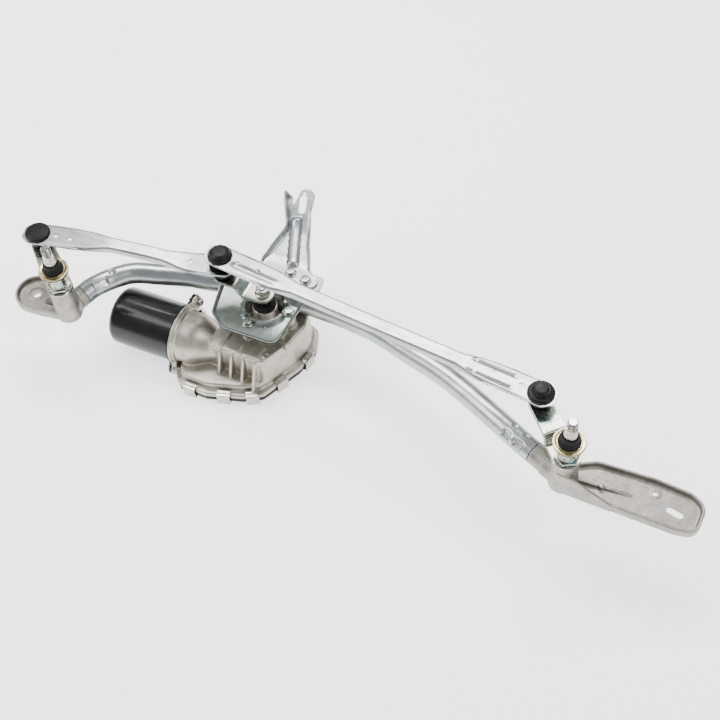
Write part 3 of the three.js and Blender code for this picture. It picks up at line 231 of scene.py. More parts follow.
def filleted(profile: Profile, steps: int = 4) -> list[tuple[float, float]]:
    """Round the corners of an open profile.

    Args:
        profile: Radius, height and, where the corner is round, its fillet.
        steps: How many points a fillet has.

    Returns:
        The profile as radius and height pairs.
    """
    rows: list[tuple[float, float]] = []
    for i, item in enumerate(profile):
        here = np.array(item[:2], float)
        size = item[2] if len(item) > 2 else 0.0
        if size <= 0 or i in (0, len(profile) - 1):
            rows.append((float(here[0]), float(here[1])))
            continue
        before = np.array(profile[i - 1][:2], float) - here
        after = np.array(profile[i + 1][:2], float) - here
        size = min(size, 0.48 * np.linalg.norm(before), 0.48 * np.linalg.norm(after))
        start = here + before / np.linalg.norm(before) * size
        end = here + after / np.linalg.norm(after) * size
        for t in np.linspace(0, 1, steps):
            point = start * (1 - t) ** 2 + here * 2 * t * (1 - t) + end * t ** 2
            rows.append((float(point[0]), float(point[1])))
    return rows


def inside_loop(points: np.ndarray, loop: np.ndarray) -> np.ndarray:
    """Tell for each point whether it is inside a closed loop."""
    x, y = points[:, 0:1], points[:, 1:2]
    x0, y0 = loop[:, 0], loop[:, 1]
    x1, y1 = np.roll(x0, -1), np.roll(y0, -1)
    crosses = (y0 > y) != (y1 > y)
    rise = np.where(np.abs(y1 - y0) < 1e-12, 1e-12, y1 - y0)
    at = x0 + (y - y0) * (x1 - x0) / rise
    return (crosses & (x < at)).sum(axis=1) % 2 == 1


def edge_distance(points: np.ndarray, loop: np.ndarray) -> tuple[np.ndarray, np.ndarray]:
    """Measure how far points are from a loop.

    Args:
        points: Rows of x and y.
        loop: Rows of x, y and flange height.

    Returns:
        The distance of each point, and the flange height of the nearest place on the loop.
    """
    start, end = loop, np.roll(loop, -1, axis=0)
    way = end[:, :2] - start[:, :2]
    squared = np.maximum((way ** 2).sum(axis=1), 1e-12)
    offset = points[:, None, :2] - start[None, :, :2]
    share = np.clip((offset * way).sum(axis=2) / squared, 0, 1)
    gap = np.linalg.norm(offset - share[:, :, None] * way, axis=2)
    nearest = gap.argmin(axis=1)
    rows = np.arange(len(points))
    lift = start[nearest, 2] + share[rows, nearest] * (end[nearest, 2] - start[nearest, 2])
    return gap[rows, nearest], lift


def ease(low: float, high: float, value: np.ndarray) -> np.ndarray:
    """Rise smoothly from 0 at low to 1 at high."""
    t = np.clip((value - low) / (high - low), 0, 1)
    return t * t * (3 - 2 * t)


def soft_max(first: np.ndarray, second: np.ndarray, blend: float) -> np.ndarray:
    """Return the larger of two levels, with a fillet where they meet."""
    share = np.clip(0.5 + (first - second) / (2 * blend), 0, 1)
    return first * share + second * (1 - share) + blend * share * (1 - share)


def along_stations(stations: Profile, value: np.ndarray, soften: float) -> np.ndarray:
    """Follow a line of stations with rounded bends."""
    at, level = np.array([s[0] for s in stations]), np.array([s[1] for s in stations])
    spread = np.linspace(-soften, soften, 9)
    return np.mean([np.interp(value + shift, at, level) for shift in spread], axis=0)


# ---- Meshes --------------------------------------------------------------------------------


def linked(name: str, data: bpy.types.ID) -> bpy.types.Object:
    """Put a mesh, a light or a camera into the scene as an object."""
    made = bpy.data.objects.new(name, data)
    bpy.context.scene.collection.objects.link(made)
    return made


def shaded(mesh: bpy.types.Mesh) -> None:
    """Shade a mesh smooth, except where its faces meet at a sharp angle."""
    mesh.shade_smooth()
    mesh.set_sharp_from_angle(angle=SMOOTH_ANGLE)


def band(count: int, lower: int, upper: int) -> list[list[int]]:
    """Return the faces between two rings of points, given each ring's first index."""
    return [[lower + k, lower + (k + 1) % count, upper + (k + 1) % count, upper + k] for k in range(count)]


def to_object(name: str, points: np.ndarray, faces: Iterable, place: Place) -> bpy.types.Object:
    """Make a mesh object from local points, with its doubles merged and its faces outwards."""
    mesh = bpy.data.meshes.new(name)
    mesh.from_pydata(place.to_scene(np.asarray(points, float)).tolist(), [], [tuple(f) for f in faces])
    piece = linked(name, mesh)
    tidy_mesh(piece)
    return piece


def tidy_mesh(piece: bpy.types.Object) -> None:
    """Merge doubled points, turn the faces outwards and shade by the angle between faces."""
    work = bmesh.new()
    work.from_mesh(piece.data)
    bmesh.ops.remove_doubles(work, verts=work.verts, dist=2e-6)
    bmesh.ops.recalc_face_normals(work, faces=work.faces)
    work.to_mesh(piece.data)
    work.free()
    shaded(piece.data)


def revolved(name: str, profile: Profile, place: Place, around_x: bool = False, segments: int = 64,
             wave: Wave | None = None, closed: bool = False) -> bpy.types.Object:
    """Turn a profile round an axis.

    Args:
        name: The object's name.
        profile: Radius and height pairs. An open profile starts and ends on the axis.
        place: Where the axis is.
        around_x: Whether the axis runs along X instead of Z.
        segments: How many steps go round.
        wave: Radius to add for each angle and height, for ridges and threads.
        closed: Whether the profile closes on itself, as a ring's does.

    Returns:
        The solid.
    """
    rings = np.array([p[:2] for p in profile], float)
    angles = np.arange(segments) * 2 * math.pi / segments
    radius = np.repeat(rings[:, :1], segments, axis=1)
    height = np.repeat(rings[:, 1:], segments, axis=1)
    turn = np.repeat(angles[None, :], len(rings), axis=0)
    if wave is not None:
        radius = radius + np.where(radius > 0.01, wave(turn, height), 0)
    flat, side = radius * np.cos(turn), radius * np.sin(turn)
    axes = (height, flat, side) if around_x else (flat, side, height)
    points = np.stack(axes, axis=2).reshape(-1, 3)
    faces = []
    last = len(rings) if closed else len(rings) - 1
    for i in range(last):
        for k in range(segments):
            n = (k + 1) % segments
            j = (i + 1) % len(rings)
            quad = [i * segments + k, i * segments + n, j * segments + n, j * segments + k]
            if rings[i, 0] < 1e-6:
                quad = [quad[0], quad[2], quad[3]]
            elif rings[j, 0] < 1e-6:
                quad = quad[:3]
            faces.append(quad)
    return to_object(name, points, faces, place)


def prism(name: str, loop: np.ndarray, low: float, high: float, place: Place,
          edge: float = 0.5) -> bpy.types.Object:
    """Raise an outline from one level to another, with softened edges.

    Args:
        name: The object's name.
        loop: The outline.
        low: The lower level.
        high: The upper level.
        place: The local frame.
        edge: How far the edges are softened.

    Returns:
        The solid.
    """
    levels = [(low, edge), (low + edge * 0.3, edge * 0.3), (low + edge, 0), (high - edge, 0),
              (high - edge * 0.3, edge * 0.3), (high, edge)]
    if edge <= 0:
        levels = [(low, 0), (high, 0)]
    return stepped(name, loop, levels, place)


def stepped(name: str, loop: np.ndarray, rings: Profile, place: Place) -> bpy.types.Object:
    """Join copies of an outline, each at its own level and drawn in by its own distance, into a solid.

    Args:
        name: The object's name.
        loop: The outline.
        rings: The level and the inset of each copy, from the bottom face to the top face.
        place: The local frame.

    Returns:
        The solid.
    """
    layers = [drawn_in(loop, inset)[:, :2] for _, inset in rings]
    points = np.vstack([np.hstack([ring, np.full((len(ring), 1), z)]) for ring, (z, _) in zip(layers, rings)])
    n = len(loop)
    faces: list[list[int]] = [list(range(n))[::-1], [(len(rings) - 1) * n + k for k in range(n)]]
    for i in range(len(rings) - 1):
        faces += band(n, i * n, (i + 1) * n)
    return to_object(name, points, faces, place)


def slanted_prism(name: str, loop: Profile, axis: str, low: float, high: float,
                  place: Place) -> bpy.types.Object:
    """Raise an outline drawn in a vertical plane along X ("x": the loop is y, z) or Y ("y": x, z)."""
    flat = np.array(loop, float)
    layers = []
    for level in (low, high):
        filled = np.full(len(flat), level)
        columns = (filled, flat[:, 0], flat[:, 1]) if axis == "x" else (flat[:, 0], filled, flat[:, 1])
        layers.append(np.stack(columns, axis=1))
    n = len(flat)
    faces: list[list[int]] = [list(range(n)), [n + k for k in range(n)][::-1]]
    return to_object(name, np.vstack(layers), faces + band(n, 0, n), place)


def bar(name: str, radius: float, start: Sequence[float], end: Sequence[float], place: Place,
        segments: int = 48) -> bpy.types.Object:
    """Make a plain round bar between two points, used to build up castings and to cut holes."""
    a, b = np.array(start, float), np.array(end, float)
    along = (b - a) / np.linalg.norm(b - a)
    helper = np.array([0, 0, 1.0]) if abs(along[2]) < 0.9 else np.array([1.0, 0, 0])
    u = np.cross(along, helper)
    u /= np.linalg.norm(u)
    v = np.cross(along, u)
    angles = np.arange(segments) * 2 * math.pi / segments
    ring = radius * (np.outer(np.cos(angles), u) + np.outer(np.sin(angles), v))
    faces: list[list[int]] = [list(range(segments)), [segments + k for k in range(segments)][::-1]]
    return to_object(name, np.vstack([a + ring, b + ring]), faces + band(segments, 0, segments), place)


def merged(name: str, pieces: Sequence[bpy.types.Object]) -> bpy.types.Object:
    """Put several meshes into one object without changing them, and delete the originals."""
    work = bmesh.new()
    for piece in pieces:
        work.from_mesh(piece.data)
    mesh = bpy.data.meshes.new(name)
    work.to_mesh(mesh)
    work.free()
    for piece in pieces:
        bpy.data.objects.remove(piece)
    shaded(mesh)
    return linked(name, mesh)


def applied(piece: bpy.types.Object) -> None:
    """Turn a piece's modifiers into plain mesh."""
    bpy.context.view_layer.update()
    seen = piece.evaluated_get(bpy.context.evaluated_depsgraph_get())
    mesh = bpy.data.meshes.new_from_object(seen)
    piece.modifiers.clear()
    old = piece.data
    piece.data = mesh
    bpy.data.meshes.remove(old)


class Cut(Enum):
    """How a tool changes a solid."""

    AWAY = "DIFFERENCE"
    TOGETHER = "UNION"
    COMMON = "INTERSECT"


def shaped(piece: bpy.types.Object, tool: bpy.types.Object, how: Cut = Cut.AWAY) -> None:
    """Cut, join or intersect a solid with a tool, which is used up."""
    change = piece.modifiers.new("shape", "BOOLEAN")
    change.operation = how.value
    change.solver = "EXACT"
    change.object = tool
    applied(piece)
    bpy.data.objects.remove(tool)
    shaded(piece.data)


def cast(name: str, pieces: Sequence[bpy.types.Object], voxel: float = 0.8,
         soften: int = 5) -> bpy.types.Object:
    """Melt overlapping solids into one skin with the soft fillets of a casting.

    Args:
        name: The object's name.
        pieces: The solids, which are used up.
        voxel: The grid's size in millimetres.
        soften: How many rounds of smoothing the skin gets.

    Returns:
        The casting.
    """
    whole = merged(name, pieces)
    melt = whole.modifiers.new("melt", "REMESH")
    melt.mode = "VOXEL"
    melt.voxel_size = voxel * MM
    soft = whole.modifiers.new("soften", "SMOOTH")
    soft.factor = 0.5
    soft.iterations = soften
    applied(whole)
    whole.data.shade_smooth()
    return whole


def pressed(name: str, loop: np.ndarray, holes: Sequence[np.ndarray], top: Surface, thickness: float,
            place: Place, spacing: float = 2.2, bands: Sequence[float] = (),
            edge: float = 0.35) -> bpy.types.Object:
    """Press a sheet: its blank is the outline less its holes, and its top follows a surface.

    Args:
        name: The object's name.
        loop: The outline, with the flange height of each point.
        holes: Loops cut out of the blank.
        top: Gives each blank point's height from the points, their distance from the outline
            and the flange height there.
        thickness: The sheet's thickness.
        place: The local frame.
        spacing: Distance between the blank's inner points.
        bands: Distances from the outline at which extra rows of points follow it.
        edge: Radius of the sheet's cut edges.

    Returns:
        The pressed sheet.
    """
    rims = [drawn_in(loop, edge)] + [drawn_in(hole, -edge) for hole in holes]
    points, edges = [], []
    for rim in rims:
        base = sum(len(p) for p in points)
        points.append(rim[:, :2])
        edges += [(base + k, base + (k + 1) % len(rim)) for k in range(len(rim))]
    for distance in bands:
        points.append(drawn_in(loop, distance)[:, :2])
    low, high = loop[:, :2].min(axis=0), loop[:, :2].max(axis=0)
    xs, ys = np.arange(low[0], high[0], spacing), np.arange(low[1], high[1], spacing)
    grid = np.array([(x + (j % 2) * spacing / 2, y) for j, y in enumerate(ys) for x in xs])
    deep = max([edge, *bands]) + spacing * 0.4
    keep = inside_loop(grid, loop) & (edge_distance(grid, loop)[0] > deep)
    for hole in holes:
        keep &= ~inside_loop(grid, hole) & (edge_distance(grid, hole)[0] > spacing * 0.4 + edge)
    points.append(grid[keep])
    flat = np.vstack(points)
    verts, _, tris, *_ = delaunay_2d_cdt([Vector(p) for p in flat], edges, [], 0, 1e-5)
    flat = np.array([(v.x, v.y) for v in verts])
    tri = np.array([t for t in tris if len(t) == 3])
    centre = flat[tri].mean(axis=1)
    keep = inside_loop(centre, rims[0])
    for rim in rims[1:]:
        keep &= ~inside_loop(centre, rim)
    return thickened(name, flat, tri[keep], loop, top, thickness, place, edge)


def thickened(name: str, flat: np.ndarray, tri: np.ndarray, loop: np.ndarray, top: Surface, thickness: float,
              place: Place, edge: float) -> bpy.types.Object:
    """Lift a triangulated blank onto its surface and give it its thickness and round cut edges."""
    def level(at: np.ndarray) -> np.ndarray:
        """Return the top's height at points of the blank."""
        gap, lift = edge_distance(at, loop)
        return top(at, gap, lift)

    delta = 0.05
    skin = np.hstack([flat, level(flat)[:, None]])
    slope_x = (level(flat + [delta, 0]) - level(flat - [delta, 0])) / (2 * delta)
    slope_y = (level(flat + [0, delta]) - level(flat - [0, delta])) / (2 * delta)
    normal = np.stack([-slope_x, -slope_y, np.ones(len(flat))], axis=1)
    normal /= np.linalg.norm(normal, axis=1, keepdims=True)
    under = skin - normal * thickness
    ends: dict[tuple[int, int], int] = {}
    for a, b, c in tri:
        for pair in ((a, b), (b, c), (c, a)):
            ends[(int(pair[0]), int(pair[1]))] = 1
    rim = [pair for pair in ends if (pair[1], pair[0]) not in ends]
    outwards = np.zeros((len(flat), 3))
    for a, b in rim:
        way = flat[b] - flat[a]
        side = np.array([way[1], -way[0], 0.0]) / max(np.linalg.norm(way), 1e-9)
        outwards[a] += side
        outwards[b] += side
    outwards /= np.maximum(np.linalg.norm(outwards, axis=1, keepdims=True), 1e-9)
    upper = skin + outwards * edge - normal * edge
    lower = skin + outwards * edge - normal * (thickness - edge)
    n = len(flat)
    faces = [tuple(t) for t in tri] + [tuple(t[::-1] + 3 * n) for t in tri]
    for a, b in rim:
        for layer in range(3):
            faces.append((b + layer * n, a + layer * n, a + (layer + 1) * n, b + (layer + 1) * n))
    used = np.zeros(4 * n, bool)
    used[np.unique(np.array([i for f in faces for i in f]))] = True
    renumber = np.cumsum(used) - 1
    points = np.vstack([skin, upper, lower, under])[used]
    return to_object(name, points, [[int(renumber[i]) for i in f] for f in faces], place)


def wave_thread(pitch: float, depth: float, low: float, high: float) -> Wave:
    """Return the ridges of a screw thread between two heights."""
    def ridge(turn: np.ndarray, height: np.ndarray) -> np.ndarray:
        """Return the depth of the thread below its crest."""
        phase = (height / pitch - turn / (2 * math.pi)) % 1
        groove = 1 - np.abs(2 * phase - 1)
        inside = (height > low) & (height < high)
        return np.where(inside, -depth * groove, 0)

    return ridge


# ---- Node trees --------------------------------------------------------------------------------


def add(tree: bpy.types.NodeTree, kind: str, settings: dict | None = None,
        **inputs: object) -> bpy.types.Node:
    """Add one node.

    Args:
        tree: The tree it goes in.
        kind: The node's type.
        settings: Properties of the node itself.
        **inputs: Values or sockets for its inputs, by name with _ for a space, or in_0, in_1 and so on.

    Returns:
        The node.
    """
    node = tree.nodes.new(kind)
    for key, value in (settings or {}).items():
        setattr(node, key, value)
    for key, value in inputs.items():
        socket = node.inputs[int(key[3:])] if key.startswith("in_") else node.inputs[key.replace("_", " ")]
        if isinstance(value, bpy.types.NodeSocket):
            tree.links.new(value, socket)
        else:
            socket.default_value = value
    return node


def run_tree(whole: bpy.types.Object, tree: bpy.types.NodeTree, values: dict) -> bpy.types.Object:
    """Run a Geometry Nodes tree on an object, keep the result as plain mesh and drop the solid it used."""
    nodes = whole.modifiers.new("nodes", "NODES")
    nodes.node_group = tree
    for item in tree.interface.items_tree:
        if item.in_out == "INPUT" and item.name in values:
            nodes[item.identifier] = values[item.name]
    applied(whole)
    bpy.data.objects.remove(values["Solid"])
    tidy_mesh(whole)
    return whole


class Copies:
    """Geometry Nodes that repeat a solid, turned and shifted by a fixed amount from one copy to the next."""

    def __init__(self) -> None:
        """Build the tree with its named inputs."""
        tree = bpy.data.node_groups.new("repeated_solid", "GeometryNodeTree")
        face = tree.interface
        face.new_socket("Geometry", in_out="OUTPUT", socket_type="NodeSocketGeometry")
        face.new_socket("Geometry", in_out="INPUT", socket_type="NodeSocketGeometry")
        for label, kind in (("Solid", "Object"), ("Count", "Int"), ("Shift", "Vector"), ("Turn", "Vector"),
                            ("Centre", "Vector"), ("Finish", "Material")):
            face.new_socket(label, in_out="INPUT", socket_type=f"NodeSocket{kind}")
        given = tree.nodes.new("NodeGroupInput").outputs
        index = add(tree, "GeometryNodeInputIndex").outputs[0]
        shift = add(tree, "ShaderNodeVectorMath", {"operation": "SCALE"}, in_0=given["Shift"], Scale=index)
        place = add(tree, "ShaderNodeVectorMath", {"operation": "ADD"}, in_0=shift.outputs[0],
                    in_1=given["Centre"])
        turn = add(tree, "ShaderNodeVectorMath", {"operation": "SCALE"}, in_0=given["Turn"], Scale=index)
        points = add(tree, "GeometryNodePoints", Count=given["Count"], Position=place.outputs[0])
        source = add(tree, "GeometryNodeObjectInfo", Object=given["Solid"])
        copies = add(tree, "GeometryNodeInstanceOnPoints", Points=points.outputs[0],
                     Instance=source.outputs["Geometry"], Rotation=turn.outputs[0])
        real = add(tree, "GeometryNodeRealizeInstances", Geometry=copies.outputs[0])
        dressed = add(tree, "GeometryNodeSetMaterial", Geometry=real.outputs[0], Material=given["Finish"])
        out = tree.nodes.new("NodeGroupOutput")
        tree.links.new(dressed.outputs[0], out.inputs[0])
        self.tree = tree

    def make(self, name: str, solid: bpy.types.Object, count: int, finish: bpy.types.Material,
             shift: Vector = Vector(), turn: Vector = Vector(),
             centre: Vector = Vector()) -> bpy.types.Object:
        """Repeat a solid that is drawn about the origin.

        Args:
            name: The result's name.
            solid: The solid, in metres about the origin, which is used up.
            count: How many copies there are.
            finish: The copies' material.
            shift: How far each copy is from the last, in metres.
            turn: How far each copy is turned from the last, in radians.
            centre: Where the first copy's origin goes, in metres.

        Returns:
            One plain mesh of all the copies.
        """
        whole = linked(name, bpy.data.meshes.new(name))
        values = {"Solid": solid, "Count": count, "Shift": shift, "Turn": turn, "Centre": centre,
                  "Finish": finish}
        return run_tree(whole, self.tree, values)


class Scatter:
    """Geometry Nodes that set a solid on each point of a carrier, turned about Z by the point's own angle."""

    def __init__(self) -> None:
        """Build the tree with its named inputs."""
        tree = bpy.data.node_groups.new("solid_on_points", "GeometryNodeTree")
        face = tree.interface
        face.new_socket("Geometry", in_out="OUTPUT", socket_type="NodeSocketGeometry")
        for label, kind in (("Geometry", "Geometry"), ("Solid", "Object"), ("Finish", "Material")):
            face.new_socket(label, in_out="INPUT", socket_type=f"NodeSocket{kind}")
        given = tree.nodes.new("NodeGroupInput").outputs
        angle = add(tree, "GeometryNodeInputNamedAttribute", {"data_type": "FLOAT"}, Name="turn")
        turn = add(tree, "ShaderNodeCombineXYZ", Z=angle.outputs["Attribute"])
        source = add(tree, "GeometryNodeObjectInfo", Object=given["Solid"])
        copies = add(tree, "GeometryNodeInstanceOnPoints", Points=given["Geometry"],
                     Instance=source.outputs["Geometry"], Rotation=turn.outputs[0])
        real = add(tree, "GeometryNodeRealizeInstances", Geometry=copies.outputs[0])
        dressed = add(tree, "GeometryNodeSetMaterial", Geometry=real.outputs[0], Material=given["Finish"])
        out = tree.nodes.new("NodeGroupOutput")
        tree.links.new(dressed.outputs[0], out.inputs[0])
        self.tree = tree

    def make(self, name: str, solid: bpy.types.Object, spots: Profile, place: Place,
             finish: bpy.types.Material) -> bpy.types.Object:
        """Set a solid on spots.

        Args:
            name: The result's name.
            solid: The solid, in metres about the origin, which is used up.
            spots: x, y, z in millimetres and the turn in radians of each copy, in the local frame.
            place: The local frame.
            finish: The copies' material.

        Returns:
            One plain mesh of all the copies.
        """
        rows = np.array(spots, float)
        carrier = bpy.data.meshes.new(name)
        carrier.from_pydata(place.to_scene(rows[:, :3]).tolist(), [], [])
        angles = carrier.attributes.new("turn", "FLOAT", "POINT")
        angles.data.foreach_set("value", (rows[:, 3] + place.turn).astype(np.float32))
        whole = linked(name, carrier)
        values = {"Solid": solid, "Finish": finish}
        return run_tree(whole, self.tree, values)


def about_origin(piece: bpy.types.Object) -> bpy.types.Object:
    """Move a solid that was made in the datum frame so that the frame's origin is the scene's."""
    piece.data.transform(Matrix.Translation(Vector(-datum() * MM)))
    return piece


# ---- Finishes ----------------------------------------------------------------------------------


def linear(code: str) -> tuple[float, float, float, float]:
    """Turn an sRGB hex colour into linear red, green, blue and alpha."""
    parts = [int(code[i:i + 2], 16) / 255 for i in (1, 3, 5)]
    red, green, blue = (c / 12.92 if c <= 0.04045 else ((c + 0.055) / 1.055) ** 2.4 for c in parts)
    return red, green, blue, 1.0


def per_metre(size_mm: float) -> float:
    """Return the texture scale whose features are about this many millimetres wide."""
    return 1 / (size_mm * MM)


class Slot(Enum):
    """The record's material slots."""

    GALVANISED = "galvanised_steel"
    ZINC = "zinc_plate"
    YELLOW_ZINC = "yellow_zinc"
    DIE_CAST = "die_cast_alloy"
    GEAR_CASE = "gear_case_alloy"
    PLATE = "plate_steel"
    BRIGHT = "bright_steel"
    ENAMEL = "black_enamel"
    PLASTIC = "black_plastic"
    RUBBER = "seal_rubber"
    BRONZE = "bush_bronze"
    NYLON = "gear_nylon"
    FERRITE = "magnet_ferrite"
    COPPER = "winding_copper"


@dataclass(frozen=True)
class Metal:
    """A bare, plated or cast metal surface.

    Attributes:
        tones: Hex colours from the dullest to the brightest patch of the surface.
        roughness: Roughness of the smoothest and of the dullest patches.
        patch: Width of the patches in millimetres.
        grain: Width of the fine grain in millimetres.
        relief: How far the grain stands out, in millimetres.
        stretch: How much finer the patches are along X, Y and Z, for drawn or brushed metal.
    """

    tones: tuple[str, ...]
    roughness: tuple[float, float]
    patch: float
    grain: float
    relief: float
    stretch: tuple[float, float, float] = (1, 1, 1)
    metallic: float = 1.0

    def make(self, name: str) -> bpy.types.Material:
        """Build the material's nodes."""
        material, tree, shader = bare_material(name)
        where = add(tree, "ShaderNodeTexCoord").outputs["Object"]
        drawn = add(tree, "ShaderNodeMapping", Vector=where, Scale=self.stretch).outputs[0]
        patches = add(tree, "ShaderNodeTexNoise", Vector=drawn, Scale=per_metre(self.patch), Detail=5.0,
                      Roughness=0.62)
        colour_by(tree, shader, patches, self.tones)
        scuffs = add(tree, "ShaderNodeTexNoise", Vector=drawn, Scale=per_metre(self.patch * 0.4), Detail=6.0)
        dull_by(tree, shader, scuffs, self.roughness)
        grain = add(tree, "ShaderNodeTexNoise", Vector=where, Scale=per_metre(self.grain), Detail=3.0)
        bump_by(tree, shader, grain, 0.6, self.relief)
        shader.inputs["Metallic"].default_value = self.metallic
        return material


@dataclass(frozen=True)
class Moulding:
    """A painted, moulded or rubber surface.

    Attributes:
        tones: Hex colours of the darkest and lightest patches.
        roughness: Roughness of the smoothest and of the dullest patches.
        grain: Width of the surface's texture in millimetres.
        relief: How far the texture stands out, in millimetres.
        coat: Weight of a clear, glossy film on top.
        ior: Index of refraction.
    """

    tones: tuple[str, str]
    roughness: tuple[float, float]
    grain: float
    relief: float
    coat: float = 0.0
    ior: float = 1.5

    def make(self, name: str) -> bpy.types.Material:
        """Build the material's nodes."""
        material, tree, shader = bare_material(name)
        where = add(tree, "ShaderNodeTexCoord").outputs["Object"]
        patches = add(tree, "ShaderNodeTexNoise", Vector=where, Scale=per_metre(9), Detail=4.0)
        colour_by(tree, shader, patches, self.tones)
        dull_by(tree, shader, patches, self.roughness)
        grain = add(tree, "ShaderNodeTexNoise", Vector=where, Scale=per_metre(self.grain), Detail=2.0)
        bump_by(tree, shader, grain, 0.5, self.relief)
        shader.inputs["Coat Weight"].default_value = self.coat
        shader.inputs["Coat Roughness"].default_value = 0.12
        shader.inputs["IOR"].default_value = self.ior
        shader.inputs["Specular IOR Level"].default_value = 0.22
        return material


def bare_material(name: str) -> tuple[bpy.types.Material, bpy.types.NodeTree, bpy.types.Node]:
    """Start a material with nothing but its shader and output."""
    material = bpy.data.materials.new(name)
    material.use_nodes = True
    tree = material.node_tree
    tree.nodes.clear()
    shader = add(tree, "ShaderNodeBsdfPrincipled")
    out = add(tree, "ShaderNodeOutputMaterial")
    tree.links.new(shader.outputs[0], out.inputs[0])
    return material, tree, shader


def colour_by(tree: bpy.types.NodeTree, shader: bpy.types.Node, noise: bpy.types.Node,
              tones: Sequence[str]) -> None:
    """Colour a surface by a noise, with the tones spread over the middle of the noise's range."""
    ramp = add(tree, "ShaderNodeValToRGB", Fac=noise.outputs["Fac"])
    stops = ramp.color_ramp.elements
    low, high = 0.33, 0.67
    while len(stops) < len(tones):
        stops.new(0.5)
    for i, tone in enumerate(tones):
        stops[i].position = low + (high - low) * i / (len(tones) - 1)
        stops[i].color = linear(tone)
    tree.links.new(ramp.outputs[0], shader.inputs["Base Color"])


def dull_by(tree: bpy.types.NodeTree, shader: bpy.types.Node, noise: bpy.types.Node,
            roughness: tuple[float, float]) -> None:
    """Vary a surface's roughness between two values by a noise."""
    dull = add(tree, "ShaderNodeMapRange", Value=noise.outputs["Fac"], From_Min=0.3, From_Max=0.7,
               To_Min=roughness[0], To_Max=roughness[1])
    tree.links.new(dull.outputs[0], shader.inputs["Roughness"])


def bump_by(tree: bpy.types.NodeTree, shader: bpy.types.Node, noise: bpy.types.Node, strength: float,
            relief: float) -> None:
    """Pebble a surface by a noise, to a relief in millimetres."""
    bump = add(tree, "ShaderNodeBump", Height=noise.outputs["Fac"], Strength=strength, Distance=relief * MM)
    tree.links.new(bump.outputs[0], shader.inputs["Normal"])


FINISHES: dict[Slot, Metal | Moulding] = {
    # Hot-dip galvanised strip: pale grey, softly clouded, with a satin shine.
    Slot.GALVANISED: Metal(("#979c9e", "#a9aeaf", "#b3b8b8"), (0.26, 0.38), 14, 0.7, 0.004, (0.45, 1.3, 1)),
    # Bright zinc plate with a clear passivate: blue-white with faint yellow, green and pink clouds.
    Slot.ZINC: Metal(("#7f9698", "#97a7a4", "#a8ab98", "#a39f9c", "#93a5a1"), (0.2, 0.32), 12, 0.9, 0.0008),
    # Yellow chromate over zinc: straw with green and red clouds.
    Slot.YELLOW_ZINC: Metal(("#8d8468", "#b9a97a", "#c7b68f", "#a9a98c"), (0.2, 0.36), 6, 0.5, 0.006),
    # Pressure die-cast aluminium, shot-blasted: matt grey with a fine pebbled skin.
    Slot.DIE_CAST: Metal(("#8a8680", "#9b978f", "#a7a299"), (0.42, 0.54), 10, 0.55, 0.025, metallic=0.9),
    # The gear case's alloy, as cast: warmer, a little smoother.
    Slot.GEAR_CASE: Metal(("#9d988e", "#ada79c", "#b9b3a7"), (0.34, 0.46), 14, 0.6, 0.018, metallic=0.92),
    # Pre-coated steel sheet of the motor plate: grey-green and even.
    Slot.PLATE: Metal(("#7c847f", "#939a95", "#a0a7a2"), (0.3, 0.44), 12, 0.8, 0.012),
    # Turned and hardened steel, lightly oiled.
    Slot.BRIGHT: Metal(("#9b978f", "#b4b0a7", "#c1bdb4"), (0.12, 0.24), 5, 0.4, 0.003, (1, 1, 3)),
    # Black stoving enamel on the drawn can: glossy, with a slight orange peel.
    Slot.ENAMEL: Moulding(("#040405", "#08080a"), (0.28, 0.38), 2.2, 0.012, coat=0.35),
    # Black glass-filled nylon: satin, with a fine grain.
    Slot.PLASTIC: Moulding(("#040405", "#0a0a0b"), (0.36, 0.5), 0.5, 0.01),
    # Nitrile rubber: almost matt.
    Slot.RUBBER: Moulding(("#0d0d0d", "#171717"), (0.6, 0.75), 0.7, 0.02),
    # Sintered bronze, porous and oily.
    Slot.BRONZE: Metal(("#7e5f38", "#a07c4b"), (0.35, 0.5), 2, 0.3, 0.01),
    # Natural nylon of the worm wheel: ivory, waxy.
    Slot.NYLON: Moulding(("#cfc8b4", "#ded8c6"), (0.38, 0.46), 1.5, 0.01),
    # Ferrite: a ground grey ceramic.
    Slot.FERRITE: Moulding(("#2e2e30", "#3b3b3e"), (0.6, 0.7), 0.6, 0.02),
    # Enamelled copper wire under lacquer.
    Slot.COPPER: Metal(("#8c4f2c", "#ab6a40"), (0.2, 0.34), 2, 0.6, 0.02),
}


class Palette:
    """Every finish of the object, made once, and the way to hand a piece over in one."""

    def __init__(self) -> None:
        """Make the materials."""
        self.materials = {slot: finish.make(slot.value) for slot, finish in FINISHES.items()}

    def hand_over(self, piece: bpy.types.Object, slot: Slot, body: str, *nodes: str) -> None:
        """Give a piece its slot's material and its body, and hide the CAD nodes that it stands for.

        Args:
            piece: The finished mesh.
            slot: Its finish.
            body: The CAD body that it rides on.
            *nodes: The CAD nodes that it replaces.
        """
        piece.data.materials.clear()
        piece.data.materials.append(self.materials[slot])
        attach(piece, body)
        if nodes:
            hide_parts(*nodes)
        log.info("%s: %d faces, %s, on %s", piece.name, len(piece.data.polygons), slot.name.lower(), body)

    def dress_cad(self) -> None:
        """Give every CAD node that still shows the finish of its slot in the record."""
        for row in frame["record"]["subparts"]:
            node = frame["nodes"][row["node"]]
            if node.hide_render:
                continue
            node.data.materials.clear()
            node.data.materials.append(self.materials[Slot(row["material_slot"])])


# ---- Frame tube --------------------------------------------------------------------------------


@dataclass
class Crimp:
    """A pocket pressed into the tube: its middle and half length along it, and its angle and half width."""

    at: float
    half: float
    angle: float
    width: float
    depth: float
    soft: float = 1.0


